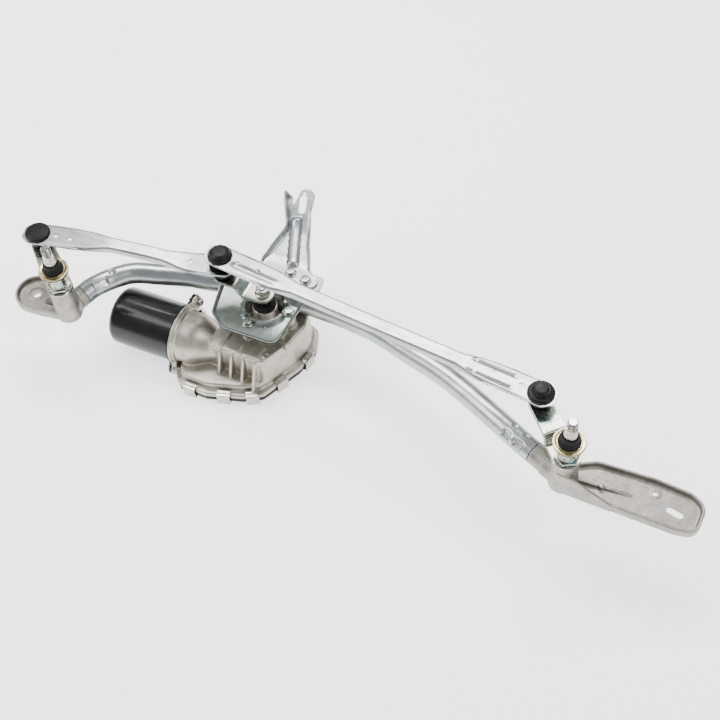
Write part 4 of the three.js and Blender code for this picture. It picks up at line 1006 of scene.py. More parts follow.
@dataclass
class FrameTube:
    """The bent tube between the two castings, pressed flat and crimped where it grips their spigots."""

    radius: float = TUBE_RADIUS
    wall: float = 1.6
    saddle_y: float = SADDLE_Y
    saddle_z: float = SADDLE_Z
    saddle_reach: float = 19.2
    neck_z: float = 8.0
    end_straight: float = 14.0
    left_neck: tuple[float, float] = (22.0, 70.0)
    right_neck: tuple[float, float] = (36.5, 156.6)
    sides: int = 72
    ring_gap: float = 0.95
    flattened: float = 1.5
    left_bends: Profile = ((0.19, 0, 0), (0.31, 0.09, 0.02), (0.46, 0.17, 0.24), (0.64, 0.3, 0.47),
                           (0.82, 0.46, 0.75))
    right_bends: Profile = ((0.15, 0, 0), (0.33, 0.07, 0.06), (0.48, 0.23, 0.26), (0.64, 0.41, 0.49),
                            (0.85, 0.75, 0.79))
    left_crimps: list[Crimp] = field(default_factory=lambda: [
        Crimp(20, 8.5, 42, 4.4, 3.0, 1.2), Crimp(37, 2.6, -2, 3.0, 2.6, 1.6)])
    right_crimps: list[Crimp] = field(default_factory=lambda: [
        Crimp(14, 4.4, 50, 4.4, 3.2, 1.2), Crimp(29, 4.4, 50, 4.4, 3.2, 1.2),
        Crimp(13, 3.0, -16, 2.2, 2.6, 1.2), Crimp(28, 3.0, -16, 2.2, 2.6, 1.2)])

    def end(self, joint: str, neck: tuple[float, float]) -> tuple[np.ndarray, np.ndarray]:
        """Return where the tube ends beside a casting and the direction that it leaves in."""
        pivot = joint_place(joint)
        along = heading(neck[1])
        return np.array([pivot[0], pivot[1], self.neck_z]) + along * neck[0], along

    def bends(self, start_x: float, end: np.ndarray, shares: Profile) -> list[np.ndarray]:
        """Return the bends between the saddle and one end."""
        start = np.array([start_x, self.saddle_y, self.saddle_z])
        return [start + np.array(share) * (end - start) for share in shares]

    def route(self) -> np.ndarray:
        """Return the middle line of the tube as evenly spaced points."""
        left, left_way = self.end("left_lever_turn", self.left_neck)
        right, right_way = self.end("right_lever_turn", self.right_neck)
        reach = self.saddle_reach
        knots = [left, left + left_way * self.end_straight, *self.bends(-reach, left, self.left_bends)[::-1],
                 np.array([-reach, self.saddle_y, self.saddle_z]),
                 np.array([reach, self.saddle_y, self.saddle_z]),
                 *self.bends(reach, right, self.right_bends), right + right_way * self.end_straight, right]
        return even_line(smooth_line(knots), self.ring_gap)

    def radii(self, run: np.ndarray, turn: np.ndarray) -> np.ndarray:
        """Return the tube's outer radius for each place along it and angle round it."""
        squeeze = 1 - ease(30, 52, run)
        radius = self.radius - self.flattened * squeeze * np.cos(turn - math.radians(40)) ** 2
        crimps = [(c, run) for c in self.left_crimps] + [(c, run.max() - run) for c in self.right_crimps]
        for crimp, along in crimps:
            gap = (turn - math.radians(crimp.angle) + math.pi) % (2 * math.pi) - math.pi
            across = np.abs(gap) * self.radius
            lengthways = 1 - ease(crimp.half - crimp.soft, crimp.half + crimp.soft, np.abs(along - crimp.at))
            sideways = 1 - ease(crimp.width - crimp.soft, crimp.width + crimp.soft, across)
            radius = radius - crimp.depth * lengthways * sideways
        return radius

    def build(self, palette: Palette) -> None:
        """Sweep the tube along its route and hand it over."""
        line = self.route()
        tangent = np.gradient(line, axis=0)
        tangent /= np.linalg.norm(tangent, axis=1, keepdims=True)
        up = np.array([0, 0, 1.0]) - tangent * tangent[:, 2:3]
        up /= np.linalg.norm(up, axis=1, keepdims=True)
        side = np.cross(tangent, up)
        run = np.concatenate([[0], np.cumsum(np.linalg.norm(np.diff(line, axis=0), axis=1))])
        turn = np.arange(self.sides) * 2 * math.pi / self.sides
        grid_run, grid_turn = np.meshgrid(run, turn, indexing="ij")
        outer = self.radii(grid_run, grid_turn)
        way = (np.cos(grid_turn)[:, :, None] * up[:, None, :]
               + np.sin(grid_turn)[:, :, None] * side[:, None, :])
        skins = [line[:, None, :] + way * outer[:, :, None],
                 line[:, None, :] + way * (outer - self.wall)[:, :, None]]
        count, sides = len(line), self.sides
        faces = []
        for i in range(count - 1):
            for quad in band(sides, i * sides, (i + 1) * sides):
                faces += [quad, [q + count * sides for q in quad[::-1]]]
        for i in (0, count - 1):
            faces += band(sides, i * sides, (i + count) * sides)
        points = np.concatenate([s.reshape(-1, 3) for s in skins])
        tube = to_object("bent_tube", points, faces, Place())
        palette.hand_over(tube, Slot.GALVANISED, "frame", "frame_tube")


def smooth_line(knots: Sequence[np.ndarray], parts: int = 40) -> np.ndarray:
    """Run a centripetal Catmull-Rom curve through points, as the CAD's tube does."""
    padded = [2 * knots[0] - knots[1], *knots, 2 * knots[-1] - knots[-2]]
    rows = []
    for p0, p1, p2, p3 in zip(padded, padded[1:], padded[2:], padded[3:]):
        d0, d1, d2 = (max(np.linalg.norm(b - a) ** 0.5, 1e-4) for a, b in ((p0, p1), (p1, p2), (p2, p3)))
        t1 = ((p1 - p0) / d0 - (p2 - p0) / (d0 + d1) + (p2 - p1) / d1) * d1
        t2 = ((p2 - p1) / d1 - (p3 - p1) / (d1 + d2) + (p3 - p2) / d2) * d1
        for t in np.arange(parts) / parts:
            rows.append(p1 + t1 * t + (-3 * p1 + 3 * p2 - 2 * t1 - t2) * t ** 2
                        + (2 * p1 - 2 * p2 + t1 + t2) * t ** 3)
    rows.append(knots[-1])
    return np.array(rows)


def even_line(points: np.ndarray, gap: float) -> np.ndarray:
    """Space a line's points evenly, about a gap apart."""
    run = np.concatenate([[0], np.cumsum(np.linalg.norm(np.diff(points, axis=0), axis=1))])
    steps = np.linspace(0, run[-1], int(run[-1] / gap) + 1)
    return np.stack([np.interp(steps, run, points[:, k]) for k in range(3)], axis=1)


# ---- Pivot housings ----------------------------------------------------------------------------


@dataclass
class PivotHousing:
    """What the two castings that hold the wiper shafts share: a bored boss, a neck and a rimmed arm."""

    joint: str
    node: str
    neck_length: float
    neck_angle: float
    boss_radius: float = 14.0
    foot: float = -5.0
    arm_foot: float = -1.0
    arm_rim: float = 9.5
    floor: float = 4.6
    wall: float = 3.0
    top: float = 39.0
    tube_radius: float = TUBE_RADIUS
    bush_radius: float = 9.3
    shaft_room: float = 7.2
    neck_level: float = 8.0
    neck_gap: float = 0.6

    def place(self) -> Place:
        """Return the frame at the pivot, level with the datum."""
        pivot = joint_place(self.joint)
        return Place(pivot[0], pivot[1], 0)

    def boss(self) -> bpy.types.Object:
        """Make the upright boss."""
        r = self.boss_radius
        profile = filleted([(0, self.foot), (r - 1.2, self.foot, 1.4), (r, self.foot + 3, 1),
                            (r, self.arm_rim, 3), (r - 1, self.top - 8, 3), (r - 1, self.top, 0.7),
                            (0, self.top)])
        return revolved("boss", profile, self.place())

    def neck(self) -> list[bpy.types.Object]:
        """Make the round neck that the tube butts against, and its collar."""
        along = heading(self.neck_angle)
        level = np.array([0, 0, self.neck_level])
        end = level + along * (self.neck_length - self.neck_gap)
        return [bar("neck", self.tube_radius, level, end, self.place()),
                bar("neck_root", self.tube_radius + 1.2, level, level + along * (self.neck_length * 0.55),
                    self.place())]

    def tray(self, outline: np.ndarray) -> bpy.types.Object:
        """Make an arm's floor with the rim that runs round it."""
        foot, rim, floor = self.arm_foot, self.arm_rim, self.arm_foot + self.floor
        rings = [(foot, 0.8), (foot + 0.8, 0), (rim - 0.5, 0), (rim, 0.6), (rim, self.wall - 0.8),
                 (rim - 0.6, self.wall), (floor + 1, self.wall + 0.2), (floor, self.wall + 1.2)]
        return stepped("arm", outline, rings, self.place())

    def bored(self, piece: bpy.types.Object) -> None:
        """Cut the bore for the bush and the shaft, and the circlip's recess below."""
        profile = [(0, self.foot - 1), (self.bush_radius + 1, self.foot - 1), (self.bush_radius + 1, 2),
                   (self.shaft_room, 2), (self.shaft_room, 4), (self.bush_radius, 4),
                   (self.bush_radius, self.top + 1), (0, self.top + 1)]
        shaped(piece, revolved("bore", profile, self.place()))


class LeftHousing(PivotHousing):
    """The casting at the short end, with a round ear."""

    ear_x, ear_y, ear_radius, hole = -43.0, 4.5, 22.5, 4.6

    def __init__(self) -> None:
        """Set the neck that belongs to the left casting."""
        super().__init__("left_lever_turn", "left_pivot_housing", 22.0, 70.0)

    def outline(self) -> np.ndarray:
        """Return the ear's outline."""
        x, y, r, side = self.ear_x, self.ear_y, self.ear_radius, self.boss_radius
        arc = [(x + r * math.cos(a), y + r * math.sin(a), 3) for a in np.radians(np.arange(100, 271, 10))]
        return rounded_outline([(0, side, 1), (x + 16, y + 21, 12), *arc, (x + 14, y - r + 0.6, 10),
                                (-4, -side, 4)], 1.0)

    def build(self, palette: Palette) -> None:
        """Cast the housing, drill it and hand it over."""
        place = self.place()
        web = slanted_prism("web", [(-30, 3), (-8, 3), (-8, 20)], "y", -3.0, 3.0, place)
        pad = revolved("pad", [(0, 3), (8.4, 3), (8.0, 4.5), (0, 4.5)], Place(place.x + self.ear_x,
                                                                               place.y + self.ear_y))
        body = cast("left_casting", [self.tray(self.outline()), self.boss(), *self.neck(), web, pad], 0.7, 3)
        self.bored(body)
        shaped(body, bar("hole", self.hole, (self.ear_x, self.ear_y, -9), (self.ear_x, self.ear_y, 19),
                         place))
        palette.hand_over(body, Slot.DIE_CAST, "frame", self.node)


class RightHousing(PivotHousing):
    """The casting at the long end, with an arm that has a slot, a hole and a rib."""

    reach, front, back = 133.0, -17.0, 29.0
    slot_x, slot_y, slot_half, slot_radius = 107.5, 4.5, 4.6, 4.3
    hole_at, hole_radius = (85.5, 17.0), 3.2
    rib_turn = math.radians(5)

    def __init__(self) -> None:
        """Set the neck that belongs to the right casting."""
        super().__init__("right_lever_turn", "right_pivot_housing", 36.5, 156.6)

    def outline(self) -> np.ndarray:
        """Return the arm's outline."""
        side = self.boss_radius
        return rounded_outline([
            (0, -side, 2), (30, self.front + 2.5, 20), (self.reach - 22, self.front, 18),
            (self.reach - 1, self.front + 3, 18), (self.reach + 1, self.back - 12, 18),
            (self.reach - 14, self.back - 2, 22), (self.reach - 50, self.back + 1, 50),
            (26, self.back - 1, 22), (0, side, 2)], 1.0)

    def rib(self) -> list[bpy.types.Object]:
        """Make the tapering rib along the arm's floor and the small boss on it."""
        base = self.place()
        turned = Place(base.x, base.y, 0, self.rib_turn)
        blade = slanted_prism("blade", [(8, 2.5), (72, 2.5), (62, 4.6), (12, 9.4), (8, 9.4)], "y", -1.1,
                              1.1, turned)
        return [blade, bar("boss", 2.7, (37, 0, 2), (37, 0, 8.6), turned)]

    def build(self, palette: Palette) -> None:
        """Cast the housing, drill it and hand it over."""
        place = self.place()
        wall = Place(place.x, place.y, 0, math.radians(-2.2))
        front_wall = slanted_prism("front_wall", [(-4, 0), (52, 0), (52, 9.2), (10, 30), (-4, 31)], "y",
                                   -14.3, -11.0, wall)
        pad = revolved("pad", [(0, 3), (5.4, 3), (5.0, 3.9), (0, 3.9)],
                       Place(place.x + self.hole_at[0], place.y + self.hole_at[1]))
        parts = [self.tray(self.outline()), self.boss(), *self.neck(), *self.rib(), front_wall, pad]
        body = cast("right_casting", parts, 0.7, 3)
        self.bored(body)
        slot = prism("slot", oblong(self.slot_x, self.slot_y, self.slot_half, self.slot_radius, -12), -9,
                     9.2, place, 0)
        shaped(body, slot)
        shaped(body, bar("hole", self.hole_radius, (*self.hole_at, -9), (*self.hole_at, 9), place))
        palette.hand_over(body, Slot.DIE_CAST, "frame", self.node)


# ---- Levers with their shafts ------------------------------------------------------------------


@dataclass
class LeverSet:
    """A lever riveted to its wiper shaft, with the ball at its end and the seals on the shaft."""

    side: str
    length: float
    angle: float
    thickness: float = 4.0
    rise: float = 9.0
    eye: float = 13.5
    tip: float = 11.0
    level: float = 39.3
    link_top: float = 67.0
    ball_radius: float = BALL_RADIUS
    stem: float = BALL_STEM
    shaft_radius: float = 6.6
    shaft_foot: float = -3.0
    shaft_length: float = 107.0
    spline: float = 11.0
    thread_radius: float = 5.0
    thread_length: float = 10.5
    collar_radius: float = 15.7
    collar_level: float = 68.4

    def place(self) -> Place:
        """Return the frame at the pivot, turned along the lever."""
        pivot = joint_place(f"{self.side}_lever_turn")
        return Place(pivot[0], pivot[1], 0, math.radians(self.angle))

    def lever(self) -> bpy.types.Object:
        """Press the cranked lever."""
        low = self.level + self.thickness
        fold = self.eye + 3.5

        def top(at: np.ndarray, gap: np.ndarray, lift: np.ndarray) -> np.ndarray:
            """Step up at the fold."""
            return low + self.rise * np.mean([ease(fold + s, fold + 7.5 + s, at[:, 0]) for s in (-1, 0, 1)],
                                             axis=0)

        loop = strap(self.eye, self.length, self.tip)
        hole = [circle(0, 0, self.shaft_radius + 0.25, 36), circle(self.length, 0, self.stem + 0.2, 28)]
        return pressed(f"{self.side}_pressed_lever", loop, hole, top, self.thickness, self.place(), 1.8,
                       (1.2, 2.4), 0.7)

    def ball(self) -> bpy.types.Object:
        """Turn the riveted ball pin."""
        plate = self.level + self.rise
        centre = self.link_top - 7
        head = self.stem + 2
        arc = [(self.ball_radius * math.cos(a), centre + self.ball_radius * math.sin(a))
               for a in np.linspace(-math.acos(self.stem / self.ball_radius) + 0.02, math.pi / 2 - 0.12, 14)]
        profile = [(0, plate - 1.9), (head - 1.4, plate - 1.9), (head, plate - 0.9), (head, plate - 0.3),
                   (self.stem, plate - 0.3), (self.stem, plate + 4.3), (head, plate + 4.3),
                   (head, plate + 5.1), (self.stem, plate + 5.1), *arc, (0, centre + self.ball_radius)]
        base = self.place()
        x = base.x + self.length * math.cos(base.turn)
        y = base.y + self.length * math.sin(base.turn)
        return revolved(f"{self.side}_ball_pin", profile, Place(x, y), segments=40)

    def shaft(self) -> bpy.types.Object:
        """Turn the shaft with its knurled cone and its thread."""
        top = self.shaft_foot + self.shaft_length
        tip = top - self.thread_length
        cone = tip - self.spline
        r, t = self.shaft_radius, self.thread_radius
        thread = [(t, z) for z in np.arange(tip + 1.2, top - 1.4, 0.25)]
        knurl = [(r - 0.1 + (t + 0.4 - r) * share, cone + self.spline * share)
                 for share in np.linspace(0.04, 0.95, 12)]
        profile = [(0, self.shaft_foot), (r - 0.6, self.shaft_foot), (r, self.shaft_foot + 0.7), (r, -1.6),
                   (r - 1.1, -1.6), (r - 1.1, -0.2), (r, -0.2), (r, cone - 0.4), *knurl, (t + 0.3, tip - 0.1),
                   (t - 0.6, tip + 0.2), (t - 0.6, tip + 1.0), *thread, (t, top - 1.3), (t - 1.2, top),
                   (0, top)]
        screw = wave_thread(1.5, 0.55, tip + 1.2, top - 1.5)

        def wave(turn: np.ndarray, height: np.ndarray) -> np.ndarray:
            """Add the knurl's ridges on the cone and the thread above it."""
            ridges = 0.16 * np.cos(turn * 40) * ((height > cone + 0.2) & (height < tip - 0.4))
            return ridges + screw(turn, height)

        return revolved(f"{self.side}_knurled_shaft", profile, self.place(), segments=160, wave=wave)

    def rings(self, palette: Palette) -> None:
        """Make the sleeve, the collar and the seals round the shaft."""
        place, body, side = self.place(), f"{self.side}_lever", self.side
        hole = self.shaft_radius + FIT
        low = self.level + self.thickness + FIT
        z = self.collar_level
        sleeve_low, sleeve_top = low + 3.4, z - 2.7
        hexagon = rounded_outline([(12.4 * math.cos(a), 12.4 * math.sin(a), 0.8)
                                   for a in np.radians(np.arange(0, 360, 60) + 14)], 1.5)
        foot = prism("foot", hexagon, low, sleeve_low, place, 0.5)
        wall = filleted([(0, sleeve_low - 0.6), (8.9, sleeve_low - 0.6), (8.9, sleeve_low + 1.4, 0.6),
                         (8.3, sleeve_low + 2.2, 0.6), (8.3, sleeve_low + 9, 0.5),
                         (8.7, sleeve_low + 9.8, 0.5), (8.7, sleeve_top, 0.5), (0, sleeve_top)])
        barrel = revolved("barrel", wall, place)
        shaped(foot, barrel, Cut.TOGETHER)
        shaped(foot, bar("room", hole, (0, 0, low - 1), (0, 0, z + 1), place))
        foot.name = f"{side}_zinc_sleeve"
        palette.hand_over(foot, Slot.ZINC, body, f"{side}_shaft_sleeve")
        r = self.collar_radius
        disc = [(hole, z), (r - 2.2, z), (r - 0.5, z + 0.3), (r, z + 0.9), (r, z + 1.6), (r - 0.6, z + 2.2),
                (r - 2.4, z + 2.4), (r - 3.4, z + 1.9), (12.2, z + 1.9), (11.8, z + 2.4), (hole, z + 2.4)]
        palette.hand_over(revolved(f"{side}_spring_disc", disc, place, closed=True), Slot.YELLOW_ZINC, body,
                          f"{side}_collar")
        lip = filleted([(hole, z - 2.3), (r - 3.4, z - 2.3, 0.5), (r - 0.5, z - 1.5, 0.6),
                        (r - 0.5, z - FIT, 0.3), (hole, z - FIT)])
        palette.hand_over(revolved(f"{side}_rubber_lip", lip, place, closed=True), Slot.RUBBER, body,
                          f"{side}_collar_seal")
        base = z + 2.7
        cone = filleted([(hole, base), (10.9, base, 0.4), (10.9, base + 2.2, 0.8), (9.3, base + 3.2, 0.6),
                         (9.9, base + 4.6, 0.5), (8.5, base + 6, 0.5), (8.2, base + 10.5, 0.8),
                         (hole, base + 10.5)])
        palette.hand_over(revolved(f"{side}_rubber_cone", cone, place, closed=True), Slot.RUBBER, body,
                          f"{side}_seal_cone")

    def build(self, palette: Palette) -> None:
        """Make every piece of the set and hand it over."""
        body = f"{self.side}_lever"
        palette.hand_over(self.lever(), Slot.ZINC, body, f"{self.side}_lever")
        palette.hand_over(self.ball(), Slot.BRIGHT, body, f"{self.side}_lever_ball")
        palette.hand_over(self.shaft(), Slot.BRIGHT, body, f"{self.side}_wiper_shaft")
        self.rings(palette)


# ---- Links -------------------------------------------------------------------------------------


class Cap(Enum):
    """The shape of a socket's top."""

    DOME = "dome"
    FACETED = "faceted"
    FLAT = "flat"
    OPEN = "open"


@dataclass
class Link:
    """A pressed link between the crank pin and a lever's ball, with a moulded socket at each end."""

    side: str
    waist: tuple[float, float]
    holes: Profile
    stations: Callable[[float], Profile]
    inner_cap: Cap
    outer_cap: Cap
    thickness: float = 2.0
    half: float = 14.0
    narrow: float = 9.0
    flange: float = 9.0
    tail: float = 16.0
    ball_drop: float = 7.0
    ball_radius: float = BALL_RADIUS
    stem: float = BALL_STEM
    socket_radius: float = 11.0
    throat: float = 8.8
    flange_radius: float = 13.4

    def way(self) -> tuple[Place, float]:
        """Return the frame at the crank pin, turned along the link, and the link's length."""
        pin = np.array(middle("crank_pin")) / MM - datum()
        ball = joint_place(f"{self.side}_link_swing")
        along = ball - pin
        return Place(pin[0], pin[1], 0, math.atan2(along[1], along[0])), float(np.hypot(along[0], along[1]))

    def outline(self, length: float) -> np.ndarray:
        """Return the link's outline, with how far its edge is folded down at each corner."""
        first, last = self.waist[0], length - self.waist[1]
        upper = [(-self.tail, self.half - 7, 3, 0), (-self.tail + 9, self.half, 5, 0),
                 (first - 26, self.half, 8, 1.5), (first - 10, self.half - 0.6, 14, 5),
                 (first + 12, self.narrow, 14, self.flange), (last - 12, self.narrow, 14, self.flange),
                 (last + 10, self.half - 0.6, 14, 5), (last + 26, self.half, 8, 1.5),
                 (length + self.tail - 9, self.half, 5, 0), (length + self.tail, self.half - 7, 3, 0)]
        lower = [(x, -y, r, f) for x, y, r, f in upper]
        return rounded_outline([*lower, *upper[::-1]], 1.5)

    def top(self, length: float) -> Surface:
        """Return the pressed surface: the link's own level, its folded edges and its beads."""
        stations = self.stations(length)

        def surface(at: np.ndarray, gap: np.ndarray, lift: np.ndarray) -> np.ndarray:
            """Follow the stations, roll the edges down and press the beads."""
            level = along_stations(stations, at[:, 0], 9)
            roll, run = 2.6, 0.9
            over = np.clip(run + roll - gap, 0, None)
            arc = roll - np.sqrt(np.maximum(roll ** 2 - np.minimum(over, roll * 0.96) ** 2, 0.01))
            steep = np.clip((run + roll * 0.04 - gap) / run, 0, 1) * np.maximum(lift - roll, 0)
            level = level - np.minimum(arc * np.clip(lift / 3, 0, 1), np.maximum(lift, 0.0)) - steep
            return level + self.beads(at, length)

        return surface

    def beads(self, at: np.ndarray, length: float) -> np.ndarray:
        """Return the height of the beads pressed into the link."""
        x, y = at[:, 0], at[:, 1]
        if self.side == "left":
            return np.zeros(len(at))
        ridge = 1.1 * (1 - ease(1.6, 3.2, np.abs(y + 4.2))) * ease(14, 22, x) * (1 - ease(66, 76, x))
        groove = sum(-1.0 * (1 - ease(0.5, 1.5, np.abs(y - side))) for side in (-7.6, 6.8))
        return ridge + groove * ease(length - 76, length - 72, x) * (1 - ease(length - 28, length - 25, x))

    def socket(self, name: str, level: float, x: float, cap: Cap, base: Place) -> bpy.types.Object:
        """Mould a ball socket that is snapped into the link."""
        ball = level - self.ball_drop
        hollow = self.ball_radius + FIT
        start = math.asin(-0.72)
        stop = math.acos(4.8 / hollow) if cap is Cap.OPEN else math.pi / 2
        wall = [(hollow * math.cos(a), ball + hollow * math.sin(a)) for a in np.linspace(start, stop, 12)]
        foot = ball - hollow * 0.72 - 0.8
        skirt = [(self.flange_radius, level + 1.2, 0.4), (self.flange_radius - 0.4, level + 0.2, 0.2),
                 (self.throat, level + 0.2), (self.throat, level - self.thickness - FIT),
                 (self.socket_radius, level - self.thickness - FIT, 0.3), (self.socket_radius, foot + 3, 1),
                 (self.socket_radius - 1.8, foot, 0.5), (wall[0][0], foot)]
        tops = {
            Cap.DOME: [(0, level + 9), (5.8, level + 9, 1), (7.4, level + 8.2, 1), (8.4, level + 6.2, 0.7),
                       (8.6, level + 3.8, 0.8), (11.8, level + 3.4, 0.8), (12.8, level + 2.6, 0.6)],
            Cap.FACETED: [(0, level + 7.4), (7.0, level + 7.4, 0.5), (10.6, level + 5.6, 0.5),
                          (11.8, level + 3.2, 0.5), (12.8, level + 2.6, 0.5)],
            Cap.FLAT: [(0, level + 4.4), (9.4, level + 4.4, 0.5), (10.2, level + 3.7, 0.4),
                       (11.6, level + 3.7, 0.4), (12.8, level + 3.0, 0.5)],
            Cap.OPEN: [(wall[-1][0], level + 1.0), (12.6, level + 1.0, 0.2)],
        }
        profile = filleted([*tops[cap], *skirt], 4)
        low = wall if cap is Cap.OPEN else [*wall[:-1], (0, ball + hollow)]
        turned = Place(base.x + x * math.cos(base.turn), base.y + x * math.sin(base.turn), 0, base.turn)
        segments = 12 if cap is Cap.FACETED else 56
        return revolved(name, [*profile, *low], turned, segments=segments, closed=cap is Cap.OPEN)

    def crank_ball(self, base: Place) -> bpy.types.Object:
        """Turn the ball that this link rides on, a part of the double crank pin."""
        own_top = self.stations(100.0)[0][1]
        centre = own_top - self.ball_drop
        r, stem = self.ball_radius, self.stem
        lowest = math.acos(stem / r)
        name, highest = ("lower", lowest) if self.side == "left" else ("upper", math.pi / 2)
        arc = np.linspace(-lowest, highest, 16)
        low, high = (corner.z / MM - datum()[2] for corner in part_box(f"{name}_crank_ball"))
        ball = [(max(0.0, r * math.cos(a)), centre + r * math.sin(a)) for a in arc]
        tail = [(stem, high), (0, high)] if self.side == "left" else []
        return revolved(f"{name}_ball", [(0, low), (stem, low), *ball, *tail], base, segments=40)

    def build(self, palette: Palette) -> None:
        """Press the link, mould its sockets and hand them over."""
        base, length = self.way()
        body = f"{self.side}_link"
        loop = self.outline(length)
        eyes = [circle(0, 0, self.throat + 0.2, 44), circle(length, 0, self.throat + 0.2, 44)]
        dots = [circle(x if x > 0 else length + x, y, 2.3, 20) for x, y in self.holes]
        link = pressed(f"{self.side}_pressed_link", loop, eyes + dots, self.top(length), self.thickness,
                       base, 2.0, (0.5, 1.0, 1.5, 2.1, 2.7, 3.3, 4.2))
        palette.hand_over(link, Slot.GALVANISED, body, f"{self.side}_link")
        stations = self.stations(length)
        for where, level, x, cap in (("inner", stations[0][1], 0.0, self.inner_cap),
                                     ("outer", stations[-1][1], length, self.outer_cap)):
            socket = self.socket(f"{self.side}_{where}_socket", level, x, cap, base)
            palette.hand_over(socket, Slot.PLASTIC, body, f"{self.side}_link_{where}_socket")
        ball = "lower_crank_ball" if self.side == "left" else "upper_crank_ball"
        palette.hand_over(self.crank_ball(base), Slot.BRIGHT, body, ball)


# ---- Crank -------------------------------------------------------------------------------------


@dataclass
class Crank:
    """The crank on the motor's output shaft, with its pin and nut."""

    length: float = 44.3
    level: float = 23.0
    thickness: float = 3.5
    rise: float = 10.5
    hub: float = 12.5
    tip: float = 11.5
    shaft_radius: float = 6.0
    thread_radius: float = 4.0
    flats: float = 13.0
    pin_radius: float = 5.2

    def place(self) -> Place:
        """Return the frame at the output axis, turned along the crank."""
        pin = np.array(middle("crank_pin")) / MM - datum()
        return Place(0, 0, 0, math.atan2(pin[1], pin[0]))

    def arm(self) -> bpy.types.Object:
        """Press the cranked arm."""
        low = self.level + self.thickness
        bend = self.length * 0.42

        def top(at: np.ndarray, gap: np.ndarray, lift: np.ndarray) -> np.ndarray:
            """Step up between the hub and the pin."""
            step = np.mean([ease(bend - 1 + s, bend + 9.5 + s, at[:, 0]) for s in (-1, 0, 1)], axis=0)
            return low + self.rise * step

        holes = [circle(0, 0, self.shaft_radius - 0.8, 36), circle(self.length, 0, self.pin_radius + 0.2, 30)]
        return pressed("pressed_crank", strap(self.hub, self.length, self.tip), holes, top, self.thickness,
                       self.place(), 1.7, (1.2, 2.4), 0.7)

    def nut(self) -> bpy.types.Object:
        """Make the flanged hexagon nut."""
        z = self.level + self.thickness + FIT
        head = hexagon_head("nut", self.flats, z + 0.9, z + 7, self.place())
        rim = revolved("rim", filleted([(0, z), (8.4, z, 0.2), (8.4, z + 0.7, 0.3), (6.6, z + 1.7, 0.4),
                                        (0, z + 1.7)]),
                       self.place())
        shaped(head, rim, Cut.TOGETHER)
        shaped(head, bar("room", self.thread_radius + FIT, (0, 0, z - 1), (0, 0, z + 9), self.place()))
        head.name = "flanged_nut"
        return head

    def shaft(self) -> bpy.types.Object:
        """Turn the output shaft with its threaded end."""
        seat = self.level - FIT
        thread = self.level + self.thickness
        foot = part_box("output_shaft")[0].z / MM - datum()[2]
        r, t = self.shaft_radius, self.thread_radius
        turns = [(t, z) for z in np.arange(thread + 1, thread + 8, 0.22)]
        profile = [(0, foot), (r - 1, foot), (r, foot + 1), (r, seat - 0.4), (r - 0.4, seat), (r - 1, seat),
                   (r - 1, thread), (t - 0.4, thread), (t - 0.4, thread + 0.8), *turns, (t - 0.8, thread + 9),
                   (0, thread + 9)]
        return revolved("threaded_output_shaft", profile, self.place(), segments=80,
                        wave=wave_thread(1.25, 0.45, thread + 1, thread + 7.8))

    def pin(self) -> bpy.types.Object:
        """Turn the riveted pin at the end of the arm."""
        plate = self.level + self.rise
        top = plate + self.thickness + FIT
        head = self.pin_radius + 1.8
        base = self.place()
        at = Place(base.x + self.length * math.cos(base.turn), base.y + self.length * math.sin(base.turn))
        profile = filleted([(0, plate - 2), (head - 1.2, plate - 2, 0.3), (head, plate - 0.8, 0.3),
                            (head, plate - 0.3), (self.pin_radius, plate - 0.3), (self.pin_radius, top),
                            (0, top)])
        return revolved("riveted_pin", profile, at, segments=40)

    def build(self, palette: Palette) -> None:
        """Make the crank's pieces and hand them over."""
        palette.hand_over(self.arm(), Slot.ZINC, "crank", "crank_arm")
        palette.hand_over(self.nut(), Slot.ZINC, "crank", "crank_nut")
        palette.hand_over(self.shaft(), Slot.BRIGHT, "crank", "output_shaft")
        palette.hand_over(self.pin(), Slot.BRIGHT, "crank", "crank_pin")


def hexagon_head(name: str, flats: float, low: float, high: float, place: Place,
                 socket: float = 0) -> bpy.types.Object:
    """Make a hexagon head whose corners are turned off at the top.

    Args:
        name: The object's name.
        flats: Width across the flats.
        low: The lower level.
        high: The upper level.
        place: The local frame.
        socket: Depth of a round dimple in the top, if any.

    Returns:
        The head.
    """
    corner = flats / math.sqrt(3)
    loop = rounded_outline([(corner * math.cos(a), corner * math.sin(a), 0.25)
                            for a in np.radians(np.arange(0, 360, 60))], 2.0)
    head = prism(name, loop, low, high, place, 0)
    profile = [(0, low - 1), (corner + 1, low - 1), (corner + 1, high - 1.6), (flats / 2 - 0.2, high - 0.05),
               (flats / 2 - 0.6, high + 0.1)]
    if socket:
        profile += [(flats * 0.32, high + 0.1), (flats * 0.26, high - socket), (0, high - socket)]
    else:
        profile.append((0, high + 0.1))
    shaped(head, revolved("turning", profile, place, segments=48), Cut.COMMON)
    return head


# ---- Motor plate and rear arm ------------------------------------------------------------------


def motor_bolts() -> list[tuple[float, float]]:
    """Return where the motor's bolts go through the plate and into the casing."""
    return [(BOLT_RING * math.cos(a), BOLT_RING * math.sin(a)) for a in np.radians(BOLT_ANGLES)]


